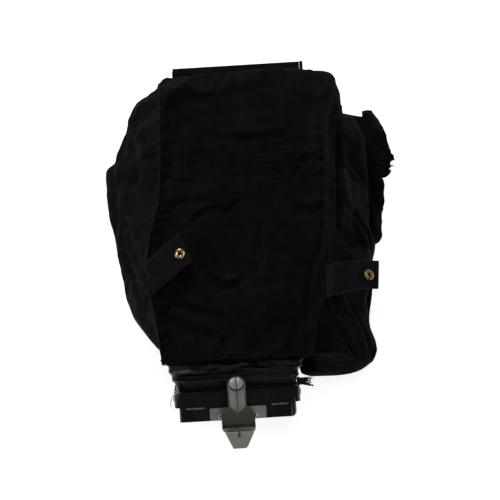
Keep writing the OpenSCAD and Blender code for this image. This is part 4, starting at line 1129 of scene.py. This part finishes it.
per = np.cumsum(np.r_[0, np.linalg.norm(np.diff(rings[20], axis=0), axis=1)])[None, :] + 0 * S
ramp_in = smooth(S, 60, 67) * (1 - smooth(S, 97, 103))
w1 = vnoise(per / 47, S / 60, 61) * 5 + vnoise(per / 21, S / 30, 62) * 2.0
fold = np.sin((S + w1) * 2 * np.pi / 13.5)
fold = np.sign(fold) * np.abs(fold) ** 0.8
dd = ramp_in * (2.0 * fold * (0.65 + 0.5 * vnoise(per / 33, S / 19, 63)) + 1.4 * fbm(per / 24 + S / 17, S / 7, 64, 3) + 0.5 * fbm(per / 5, S / 4, 65, 2))
# long slanting folds over the top, two on each half, and deeper dips allowed toward the bag end
topm = (NN > -12)
dd = dd + np.where(topm, groove(XX, S, [(18, 100), (52, 92), (92, 82)], 3.4, 3.6) + groove(XX, S, [(-98, 78), (-70, 77), (-42, 74)], 2.8, 3.0)
                   + groove(XX, S, [(-84, 66), (-50, 67), (-16, 70)], 2.6, 2.8) + groove(XX, S, [(30, 70), (64, 74), (98, 72)], 2.8, 3.0), 0) * ramp_in
dd = dd * np.where(np.abs(XX) < 30, 0.75, 1.0)
dd = np.clip(dd, -1.6 - 0.10 * np.clip(S - 66, 0, 20), 4.5)
pos = rings + outd * dd[..., None]
ds = ramp_in * (2.2 * vnoise(per / 27, S / 22, 66) + 1.2 * np.cos((S + w1) * 2 * np.pi / 13.5))
cuffg = C(pos[..., 0], S + ds, pos[..., 1])
gg = cuffg
nn = normals_of(gg, True)
cc = cuffg.reshape(-1, 3).mean(axis=0)
if np.sum(nn * (gg - cc)) < 0:
    gg = gg[:, ::-1]
cuff = slab("cuff", gg, 1.0, VINYL, closed_u=True)
tuple(M(C(0, 60, -42)))
tuple(M(C(0, 100, -42)))
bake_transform(cuff)
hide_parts("vinyl_cuff")

nh = 240
hr = np.array([around(HOLE, 13 * j / nh) for j in range(nh)])
hr3 = C(hr[:, 0], 101.5, hr[:, 1])
hc = hr3.mean(axis=0)
ho = unit(hr3 - hc)
hp, hu = dense(np.vstack([hr3, hr3[:1]]), np.vstack([ho, ho[:1]]), 2.0)
o = tape("neck_tape", (hp + hu * 0.6)[:-1], hu[:-1], closed=True, wide=3.0, thick=2.2)
piece(o, "bag", "binding")
st = C(hr[:, 0] * 1.0, 98.6, hr[:, 1]) + ho * 2.6
o = stitches("neck_stitches", st, THREAD, up=unit(ho + np.array([0, -0.6, 0])))
piece(o, "bag", "binding")

# wire clamp, its twisted ends on the left
ring = rrect_ring(-104, 104, -89.6, 4.5, 12, 200)
wire = sweep("clamp", C(ring[:, 0], 56.5 + 0.7 * np.sin(np.arange(200) / 9.0), ring[:, 1]), ellipse(1.5, 1.5, 10), CHANNEL, closed=True)
twist = []
for i in range(60):
    t = i / 59
    c = np.array(C(-99.5 - 1.0 * t, 51.0 + 9.5 * t, 5.6 + 0.8 * math.sin(t * 3)))
    a = t * 2 * math.pi * 2.5
    twist.append(c + 1.35 * np.array([math.cos(a), 0.3 * math.sin(a), math.sin(a)]))
tw1 = sweep("clamp_twist", np.array(twist), ellipse(0.85, 0.85, 8), BRIGHT)
tail = spline([C(-99.5, 51, 6.2), C(-103.5, 50.5, 6.5), C(-108.5, 47, 3.5), C(-112, 40, -2), C(-113.6, 32, -8), C(-112.8, 26, -12)], 10)
tw2 = sweep("clamp_tail", tail, ellipse(0.85, 0.85, 8), BRIGHT, scale=np.r_[np.ones(len(tail) - 3), 0.9, 0.7, 0.4])
piece(join("clamp", [wire, tw1, tw2]), "collar", "zinc", "clamp_wire")

# torn end of the cuff's seam: curled strips and loose threads
objs = []
r2 = np.random.default_rng(21)
for k in range(9):
    s0 = 53 + 9.5 * k / 8 + r2.uniform(-1, 1); L = 14 + 14 * r2.random(); w = 1.6 + 1.6 * r2.random()
    n0 = -7.5 + 4.5 * r2.random(); cur = r2.uniform(-0.5, 0.5); lift = r2.uniform(-4, 5); sd = r2.uniform(-4, 4)
    pts = [C(103.5 + L * t, s0 + sd * t * t + 1.5 * math.sin(4 * t + k), n0 + lift * t * t + 1.2 * math.sin(5 * t + k)) for t in np.linspace(0, 1, 14)]
    sec = ellipse(w, 0.45, 8)
    objs.append(sweep(f"tail_{k}", np.array(pts), sec, VINYL, scale=1 - 0.65 * np.linspace(0, 1, 14) ** 1.5 + 0.12 * np.sin(np.arange(14) * 2.1 + k)))
for k in range(16):
    s0 = 53 + 10 * r2.random(); L = 12 + 20 * r2.random(); n0 = -8 + 6 * r2.random(); a, b, c2 = r2.uniform(-9, 9), r2.uniform(-7, 5), r2.uniform(0, 6)
    pts = [C(104 + L * t, s0 + a * t * t + 1.6 * math.sin(5 * t + c2), n0 + b * t * t + 1.4 * math.cos(6 * t + c2)) for t in np.linspace(0, 1, 14)]
    objs.append(sweep(f"thread_{k}", np.array(pts), ellipse(0.26, 0.26, 5), THREAD, uv=True))
piece(join("cuff_seam_frays", objs), "collar", "vinyl", "cuff_seam_tail")

# ------------------------------------------------------------------ gathered flap on the right
FLAP = np.array([[328, 252, 254, 8], [332, 252, 262, 10], [338, 252, 266, 12], [346, 252, 266, 16], [360, 252, 267, 14], [375, 252, 267, 12], [390, 252, 270, 17], [405, 252, 274, 12],
    [420, 252, 275, 16], [435, 252, 276, 12], [447, 252, 274, 16], [453, 252, 271, 14], [457, 252, 280, 18], [463, 252, 290, 16], [470, 252, 289, 14], [476, 252, 294, 16], [482, 252, 290, 14],
    [488, 252, 297, 14], [494, 252, 293, 14], [505, 252, 290, 12], [519, 252, 287, 16], [535, 252, 284, 12], [550, 252, 280, 17], [562, 252, 273, 12], [570, 252, 268, 14], [577, 252, 264, 14]], float)
ys = np.linspace(328, 577, 170)
edge_x = np.interp(ys, FLAP[:, 0], FLAP[:, 2])
na = 30
a = np.linspace(0, 1, na)[None, :]
Yg = ys[:, None] + 0 * a
frill = np.exp(-(((Yg - 478) / 17) ** 2)) * smooth(a, 0.35, 0.9)
edge = edge_x[:, None] + 0.5 + frill * 2.4 * np.sin(Yg * 2 * np.pi / 8.6 + 1.2 * vnoise(Yg / 9, Yg * 0, 83)) + 1.0 * vnoise(Yg / 14, Yg * 0, 84)
ingx = 243.5 + 1.5 * vnoise(Yg / 30, Yg * 0, 85)
Xg = ingx + (edge - ingx) * a
ph = Yg * 2 * np.pi / 62 + 2.4 * vnoise(Yg / 60, Yg * 0, 86)
phf = Yg * 2 * np.pi / 8.6 + 1.2 * vnoise(Yg / 9, Yg * 0, 83)
lobe = np.sin(np.pi * np.clip(a * 1.05, 0, 1)) * 8.5
Zg = 14.5 - 7.0 * a + lobe * (0.75 + 0.5 * vnoise(Yg / 38, Yg * 0, 88)) + a ** 1.3 * (3.6 * np.sin(ph) + 3.6 * frill * np.sin(phf)) - 12.0 * np.exp(-((Yg - 459) / 5.0) ** 2) * a ** 0.5
Zg = Zg + groove(Yg, Xg, [(560, 250), (520, 262), (492, 280)], 3.5, 3.0) + groove(Yg, Xg, [(440, 249), (410, 258), (380, 260)], 4, 3.5)
Zg = Zg + 0.9 * fbm(Xg / 9, Yg / 13, 89, 3)
ends = np.minimum(smooth(Yg, 326, 344), 1 - 0.7 * smooth(Yg, 568, 577))
Zg = 5.0 + (Zg - 5.0) * (0.35 + 0.65 * ends)
Zg = np.maximum(Zg, 2.2)
Xg = Xg - a * 1.6 * np.abs(np.cos(ph)) * 1.0
gf = np.stack([Xg, Yg + 1.8 * a * np.cos(phf) * frill + 2.2 * a * np.cos(ph), Zg], axis=-1)
nn = normals_of(gf)
if nn[..., 2].mean() < 0:
    gf = gf[:, ::-1]
o = slab("side_flap", gf, 1.1, CLOTH)
piece(o, "bag", "woven_cloth", "gathered_side_flap")
gi = gf if abs(gf[0, 0, 0] - 244.5) < 4 else gf[:, ::-1]
ln_in = gi[:, 4] + np.array([0, 0, 0.3])
piece(stitches("flap_stitches", ln_in, THREAD), "bag", "binding")

# ------------------------------------------------------------------ rear mouth: hem tape in front of the closure channel
p = np.array([[x, 642.2 - 2.2 * smooth(x, 140, 168) - 0.4 * smooth(-x, 60, 88), 49.8] for x in np.linspace(-86.5, 164, 130)])
up = np.tile([0, 0, 1.0], (len(p), 1))
Lx = p[:, 0]
o = sweep("rear_hem", p + np.stack([0 * Lx, 0.3 * np.sin(Lx / 7), 0.2 * np.sin(Lx / 5 + 1)], 1), ellipse(2.0, 4.9, 14, power=0.75), BIND, up=up)
piece(o, "bag", "binding")
hs = []
for zz, uu in ((55.9, 1), (43.9, -1)):
    pts = np.array([[x, 634.5 - 1.6 * smooth(x, 140, 168), zz + (1.6 if uu > 0 else -1.4)] for x in np.linspace(-78, 150, 60)])
    hs.append(stitches(f"rear_st_{uu}", pts, THREAD, up=np.tile([0, -0.5, uu], (60, 1))))
piece(join("rear_stitches", hs), "bag", "binding")

# ------------------------------------------------------------------ straps
t1, t2 = math.radians(37), math.radians(-8.2)
RZ = np.array([[math.cos(t1), -math.sin(t1), 0], [math.sin(t1), math.cos(t1), 0], [0, 0, 1]])
RY = np.array([[math.cos(t2), 0, math.sin(t2)], [0, 1, 0], [-math.sin(t2), 0, math.cos(t2)]])
RL = RZ @ RY
OL = np.array([-137.9, 242.4, 135.0])


def LS(q):
    return np.asarray(q, float) @ RL.T + OL


def strap_grid(na, nb):
    a = np.linspace(0, 1, na)[:, None]; b = np.linspace(-1, 1, nb)[None, :]
    x0 = -11.5 + (b + 1) / 2 * 23; x1 = 74 + (b + 1) / 2 * 15
    x = x0 + (x1 - x0) * a; y = 25.4 * b + 0 * a + 0.25 * np.sin(a * 9)
    snapd = np.exp(-(((x - 67.7) / 14) ** 2 + ((y + 3) / 14) ** 2))
    z = 2.35 + (1 - snapd) * (1.1 * np.sin(np.pi * a) * (0.4 + 0.3 * b) + 1.3 * a ** 3 * np.abs(b) ** 2 + 0.25 * vnoise(x / 14, y / 14, 91)) - 0.35 * np.abs(b) ** 12
    return np.stack([x + 0 * b, y, z], axis=-1)


sg = strap_grid(64, 44)
n_ = normals_of(sg)
g1 = sg if n_[..., 2].mean() > 0 else sg[:, ::-1]
uvsave = g1
o = slab("left_strap_web", LS(g1), 1.9, WEB)
# the webbing's length runs along its own x axis
piece(o, "left_strap", "webbing", "strap_left")


def on_strap(x, y, lift=0.1):
    a = (x - (-11.5 + (y / 25.4 + 1) / 2 * 23)) / (85.5 + (y / 25.4 + 1) / 2 * -8)
    b = y / 25.4
    snapd = math.exp(-(((x - 67.7) / 14) ** 2 + ((y + 3) / 14) ** 2))
    z = 2.35 + (1 - snapd) * (1.1 * math.sin(math.pi * min(1, max(0, a))) * (0.4 + 0.3 * b) + 1.3 * max(a, 0) ** 3 * abs(b) ** 2)
    return (x, y, z + lift)


def strap_rows(name, lines):
    objs = []
    for k, (p0, p1) in enumerate(lines):
        q = np.array([on_strap(p0[0] + (p1[0] - p0[0]) * t, p0[1] + (p1[1] - p0[1]) * t) for t in np.linspace(0, 1, 24)])
        objs.append(stitches(f"{name}{k}", LS(q), THREAD, up=np.tile(RL[:, 2], (24, 1)), pitch=3.6, length=2.7, r=0.4))
    return join(name, objs)


bx = lambda y: -11.5 + (y / 25.4 + 1) / 2 * 23
o = strap_rows("left_strap_stitches", [((bx(-21) + 4, -21), (bx(21) + 4, 21)), ((bx(-21) + 20, -21), (bx(21) + 20, 21)), ((bx(-21) + 4, -21), (bx(-21) + 20, -21)),
                                     ((bx(21) + 4, 21), (bx(21) + 20, 21)), ((bx(-21) + 4, -21), (bx(21) + 20, 21)), ((bx(21) + 4, 21), (bx(-21) + 20, -21)),
                                     ((71.5, -22), (84, 22))])
piece(o, "left_strap", "webbing")
def rim_path(g):
    g = np.asarray(g)
    return np.vstack([g[:, 0], g[-1, 1:], g[::-1, -1][1:], g[0, ::-1][1:-1]])


# painted highlight: the bead round the left strap is lighter webbing
rm = rim_path(g1) - np.array([0, 0, 0.75])
rmp = LS(rm)
o = sweep("left_strap_edge", resample(rmp, 1.6, closed=True), ellipse(0.75, 0.95, 8), STRAP_EDGE_HIGHLIGHT, closed=True, up=None)
piece(o, "left_strap", "webbing")
# its root, sewn under the left seam tape
nb = 34
rows = []
for t in np.linspace(0, 1, 16):
    row = []
    for b in np.linspace(-1, 1, nb):
        x = bx(25.4 * b) + 30 - 33 * t; y = 24.6 * b
        z = -1.9 - 3.2 * t ** 2 - 1.2 * math.sin(3.1 * t) * 0.5
        row.append((x, y, z))
    rows.append(row)
rg = LS(np.array(rows))
nn = normals_of(rg)
if nn[..., 2].mean() < 0:
    rg = rg[:, ::-1]
o = slab("left_strap_root", rg, 1.6, WEB)
piece(o, "bag", "webbing", "strap_anchor_left")

RIB = np.array([[166, 186, 243, 146], [176, 189, 243, 150.5], [188, 192, 245, 151], [205, 197, 249, 144], [222, 202, 252, 134], [238, 205, 255, 125], [254, 207, 257, 117]], float)
na2, nb2 = 84, 40


def arch(t):
    """the ribbon stands up in a soft loop over the seam, then dips before it runs out flat"""
    return 4.6 * math.exp(-((t - 1.0) / 0.5) ** 2) - 1.3 * math.exp(-((t - 2.2) / 0.45) ** 2)


rg = []
for t in np.linspace(0, 6, na2):
    r = along(RIB, t)
    row = []
    for b in np.linspace(0, 1, nb2):
        cup = 0.5 * math.sin(math.pi * b)
        x = r[0] - 3 + 4 * b if b < 0.5 else r[0] - 1 + 4 * (b - 0.5)
        row.append((x, r[1] + (r[2] - r[1]) * b, r[3] + cup + arch(t) * (0.75 + 0.25 * b) + 0.15 * math.sin(t * 3 + b * 4)))
    rg.append(row)
rg = np.array(rg)
nn = normals_of(rg)
if nn[..., 2].mean() < 0:
    rg = rg[:, ::-1]
o = slab("right_strap_web", rg, 1.9, WEB)
piece(o, "right_strap", "webbing", "strap_right")


# painted highlight: the bead round the right strap is lighter webbing
rm = rim_path(rg) - np.array([0.3, 0, 0.75])
o = sweep("right_strap_edge", resample(rm, 1.6, closed=True), ellipse(0.75, 0.95, 8), STRAP_EDGE_HIGHLIGHT, closed=True, up=None)
piece(o, "right_strap", "webbing")


def rib_point(t, b, lift=0.15):
    r = along(RIB, t); r2_ = along(RIB, min(6, t + 0.05)); r1_ = along(RIB, max(0, t - 0.05))
    d = unit(np.array([r2_[0] - r1_[0], 0, r2_[3] - r1_[3]])); up_ = np.array([-d[2], 0, d[0]])
    x = r[0] - 3 + 4 * b
    return np.array([x, r[1] + (r[2] - r[1]) * b, r[3] + 0.5 * math.sin(math.pi * b) + arch(t) * (0.75 + 0.25 * b)]) + up_ * lift, up_


objs = []
for k, (ta, ba, tb, bb) in enumerate([(0.55, 0.07, 0.55, 0.93), (5.75, 0.07, 5.75, 0.93), (1.25, 0.07, 1.25, 0.93), (0.55, 0.07, 1.25, 0.93), (0.55, 0.93, 1.25, 0.07)]):
    q = [rib_point(ta + (tb - ta) * t, ba + (bb - ba) * t) for t in np.linspace(0, 1, 24)]
    objs.append(stitches(f"rs{k}", np.array([a_[0] for a_ in q]), THREAD, up=np.array([a_[1] for a_ in q]), pitch=3.6, length=2.7, r=0.4))
piece(join("right_strap_stitches", objs), "right_strap", "webbing")

rows = []
for r in ((164, 192, 238, 142.9), (167, 191, 239, 143.9), (171, 190, 239, 144.2), (178, 191, 239, 141.8), (183, 192, 239, 137.5)):
    rows.append([(r[0], r[1] + (r[2] - r[1]) * b, r[3]) for b in np.linspace(0, 1, 30)])
rows = np.array([[along(np.array([rw[j] for rw in rows]), t) for j in range(30)] for t in np.linspace(0, 4, 24)])
nn = normals_of(rows)
if nn[..., 2].mean() < 0:
    rows = rows[:, ::-1]
o = slab("right_strap_root", rows, 1.5, WEB)
piece(o, "bag", "webbing", "strap_anchor_right")

# small springs inside the snaps, in dark brass that paints the shade in the holes
def snap_springs(name, centre, ax, ex, crossed, body):
    ey = np.cross(ax, ex); objs = []
    for k, ang in enumerate([0, 90] if crossed else [35]):
        a_ = math.radians(ang); dx_ = ex * math.cos(a_) + ey * math.sin(a_); dy_ = np.cross(ax, dx_)
        pts = [centre + dx_ * r + dy_ * 0.5 * math.sin(r) + ax * (0.3 + 0.25 * k) for r in np.linspace(-3.3, 3.3, 12)]
        objs.append(sweep(f"{name}{k}", np.array(pts), ellipse(0.24, 0.24, 7), SHADE_BRASS))
    return piece(join(name, objs), body, "brass")


axl = RL[:, 2]
snap_springs("left_snap_spring", LS((67.7, -3, 2.3)), axl, RL[:, 0], False, "left_strap")
a6 = math.radians(29.6)
axr = np.array([math.sin(a6), 0, math.cos(a6)])
snap_springs("right_snap_spring", np.array([234.7, 227.5, 127.2]) + axr * 2.75, axr, np.array([math.cos(a6), 0, -math.sin(a6)]), True, "right_strap")

# ------------------------------------------------------------------ domed rivets on the latch bracket
colx = lambda v: unit(np.array([0, -v[1] * 0 + v[0] * 0, 0]))
AX_N = np.array([0, -SP, CP]); AX_S = np.array([0, CP, SP])
dome = [(0.0001, -3.8), (3.4, -3.8), (3.4, -2.7), (2.0, -2.6), (2.0, 2.15), (4.1, 2.15), (4.1, 2.5), (3.9, 3.0), (3.3, 3.5), (2.4, 3.85), (1.2, 4.05), (0.0001, 4.1)]
o = lathe("bracket_domed_rivets", dome, [(C(x, 7.5, 0), AX_N) for x in (-31, 31)], ZINC, 36)
piece(o, "collar", "zinc", "bracket_rivets")

def G(x, y, z):
    """grip coordinates (across, toward the bag, up its axis) to local millimetres"""
    x, y, z = np.broadcast_arrays(np.asarray(x, float), np.asarray(y, float), np.asarray(z, float))
    c3, s3 = math.cos(math.radians(36)), math.sin(math.radians(36))
    return C(x, 27.4 + y * c3 + z * s3, 29.0 - y * s3 + z * c3)


def prism(name, outline, axis0, axis1, to, mat, inset=0.0):
    """closed outline (k×2) made solid between two levels, its top edge drawn in by inset"""
    q = np.asarray(outline, float); k = len(q); c = q.mean(axis=0)
    dirs = unit(c - q)
    lev = [(axis0, q), (axis1 - inset, q), (axis1 - inset * 0.3, q + dirs * inset * 0.35), (axis1, q + dirs * inset)] if inset else [(axis0, q), (axis1, q)]
    verts = np.concatenate([to(w[:, 0], w[:, 1], np.full(k, h)) for h, w in lev])
    faces = [tuple(reversed(range(k))), tuple((len(lev) - 1) * k + i for i in range(k))]
    for a_ in range(len(lev) - 1):
        for i in range(k):
            i2 = (i + 1) % k
            faces.append((a_ * k + i, a_ * k + i2, (a_ + 1) * k + i2, (a_ + 1) * k + i))
    return add_mesh(name, M(verts), faces, None, mat)


prof = [(0.6, 12.2), (2.5, 13.2), (8, 15.1), (67, 15.1), (70.0, 14.4), (70.6, 12.2)]
outl = np.array([(r, z) for z, r in prof] + [(-r, z) for z, r in reversed(prof)])
core = prism("grip_core", outl, -1.0, 1.0, lambda y_, z_, x_: G(x_, y_, z_), CORE)
# painted light: the end faces, turned up to the lamps, are made a lighter grey than the sleeve
halves = []
for sgn in (1, -1):
    R = 12.0; x0_ = 0.85
    th = np.linspace(-math.acos(x0_ / R), math.acos(x0_ / R), 40)
    ol = np.array([(sgn * R * math.cos(t), sgn * R * math.sin(t)) for t in th])
    halves.append(prism(f"end_face_{sgn}", ol, 70.4, 71.7, lambda x_, y_, z_: G(x_, y_, z_), LIT_END_FACE, inset=0.45))
piece(join("grip_parting_core", [core] + halves), "latch", "grip_plastic")
# crimp marks round the foot of the grip
cr_ = []
for k_ in range(10):
    t_ = 2 * math.pi * k_ / 10 + 0.3
    cr_.append(sweep(f"crimp{k_}", np.array([G(13.0 * math.cos(t_), 13.0 * math.sin(t_), 0.9), G(14.3 * math.cos(t_), 14.3 * math.sin(t_), 4.0), G(15.45 * math.cos(t_), 15.45 * math.sin(t_), 8.2)]), ellipse(0.55, 0.45, 6), CORE))
piece(join("grip_crimps", cr_), "latch", "grip_plastic")

# moulded ribs and pads seen on the flange and tube, as thin raised bars; the light grey pill bars on the flange step
# are painted highlight
objs = []
def bar(name, pts, sec, mat):
    return sweep(name, np.array(pts), sec, mat, scale=np.r_[0.35, 0.8, np.ones(len(pts) - 4), 0.8, 0.35])
objs.append(bar("lip0", [C(x, 0.9, 0.25) for x in np.linspace(-91, -50, 14)], ellipse(0.9, 0.7, 8), CHUTE))
objs.append(bar("lip1", [C(x, 0.9, 0.25) for x in np.linspace(50, 88, 14)], ellipse(0.9, 0.7, 8), CHUTE))
# painted highlight: light grey bars where the flange step catches the light
for x0, x1 in ((-88, -56), (57, 86)):
    objs.append(bar("pill", [C(x, 23.4, 1.3) for x in np.linspace(x0, x1, 24)], ellipse(1.9, 1.5, 12), PILL_HIGHLIGHT))
piece(join("collar_mouldings", objs), "collar", "chute_plastic")

# ------------------------------------------------------------------ CAD pieces that stay: materials and soft edges
KEEP = {"hem_bead_upper": BIND, "hem_bead_lower": BIND, "closure_channel": CHANNEL, "channel_end_cap": CHANNEL,
        "snap_cap_left": BRASS, "snap_socket_left": BRASS, "snap_cap_right": BRASS, "snap_socket_right": BRASS, "snap_stud_left": BRASS, "snap_stud_right": BRASS,
        "chute_tube": CHUTE, "flange_collar": CHUTE, "collar_rivets": ZINC, "latch_bracket": ZINC, "latch_pin": BRIGHT, "latch_spring": SPRINGM,
        "latch_lever": LEVER, "grip_left_half": GRIP, "grip_right_half": GRIP, "grip_rivets": ZINC}
for n, m in KEEP.items():
    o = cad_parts[n]
    if len(o.material_slots) == 0:
        o.data.materials.append(m)
    for s in o.material_slots:
        s.link = "OBJECT"
        s.material = m
    wd = o.modifiers.new("weld", "WELD"); wd.merge_threshold = 0.00002
    bv = o.modifiers.new("bevel", "BEVEL"); bv.width = {"chute_tube": 0.0013, "flange_collar": 0.0024, "closure_channel": 0.0003, "channel_end_cap": 0.0005, "latch_lever": 0.0005, "latch_bracket": 0.0005}.get(n, 0.0003)
    bv.segments = 2; bv.limit_method = "ANGLE"; bv.angle_limit = math.radians(35); bv.use_clamp_overlap = True; bv.harden_normals = False



def snap_rim(name, centre, ax, ex, body, r=8.75):
    """painted shade: a dark brass lip round the foot of the cap and round its hole"""
    ey = np.cross(ax, ex); th = np.linspace(0, 2 * math.pi, 64, endpoint=False)[:, None]
    o1 = sweep(name, centre + r * (np.cos(th) * ex + np.sin(th) * ey) + ax * 0.55, ellipse(0.75, 0.95, 8), SHADE_BRASS, closed=True, up=np.tile(ax, (64, 1)))
    o2 = sweep(name + "_in", centre + (HOLE_R + 0.35) * (np.cos(th) * ex + np.sin(th) * ey) + ax * 1.35, ellipse(0.42, 0.42, 8), SHADE_BRASS, closed=True, up=np.tile(ax, (64, 1)))
    return piece(join(name, [o1, o2]), body, "brass")


HOLE_R = 3
snap_rim("left_snap_rim", LS((67.7, -3, 2.4 + 0.05)), axl, RL[:, 0], "left_strap")
snap_rim("right_snap_rim", np.array([234.7, 227.5, 127.2]) + axr * (2.4 + 0.6), axr, np.array([math.cos(a6), 0, -math.sin(a6)]), "right_strap")

# ------------------------------------------------------------------ stage, lights, camera
fl = add_mesh("floor", [(-20, -20, 0), (20, -20, 0), (20, 20, 0), (-20, 20, 0)], [(0, 1, 2, 3)], None, None, smooth_shade=False)
fm = Mat("pale_floor", Roughness=0.9)
fm.b.inputs["Base Color"].default_value = (0.9, 0.9, 0.9, 1)
fm.b.inputs["Emission Color"].default_value = (1, 1, 1, 1)
fm.b.inputs["Emission Strength"].default_value = 0.85
fl.data.materials.append(fm.m)

w = bpy.data.worlds.new("studio"); bpy.context.scene.world = w; w.use_nodes = True
bg = w.node_tree.nodes["Background"]; bg.inputs[0].default_value = (1, 1, 1, 1); bg.inputs[1].default_value = 0.10


def area(name, loc, target, size, power, sy=None):
    l = bpy.data.lights.new(name, "AREA"); l.energy = power; l.size = size
    if sy:
        l.shape = "RECTANGLE"; l.size_y = sy
    o = bpy.data.objects.new(name, l); bpy.context.scene.collection.objects.link(o)
    o.location = loc
    d = Vector(target) - Vector(loc)
    o.rotation_euler = d.to_track_quat("-Z", "Y").to_euler()
    return o


area("back_key", (-0.9, 2.6, 1.7), (0, 0.05, 0.1), 0.7, 42, 0.5)
area("top_soft", (0.5, 0.5, 3.2), (0, 0, 0.1), 1.2, 9)
area("left_soft", (-2.6, -0.3, 1.5), (0, 0, 0.1), 0.6, 13, 1.4)
area("front_soft", (0.7, -2.6, 1.9), (0, -0.2, 0.1), 0.7, 6)

T = Vector((-0.00475, -0.00256, 0.077))
el = math.radians(69); dist = 12.0
cam = bpy.data.cameras.new("cam"); cam.lens = 12.0 / 0.5 * 0.5834 * 36; cam.sensor_width = 36; cam.clip_end = 80
co = bpy.data.objects.new("cam", cam); bpy.context.scene.collection.objects.link(co)
co.location = T + Vector((0, -math.cos(el), math.sin(el))) * dist
q = (T - co.location).to_track_quat("-Z", "Y")
co.rotation_mode = "QUATERNION"
co.rotation_quaternion = q @ Quaternion((0, 0, 1), math.radians(-3.45))
bpy.context.scene.camera = co
bpy.context.scene.view_settings.view_transform = "Standard"
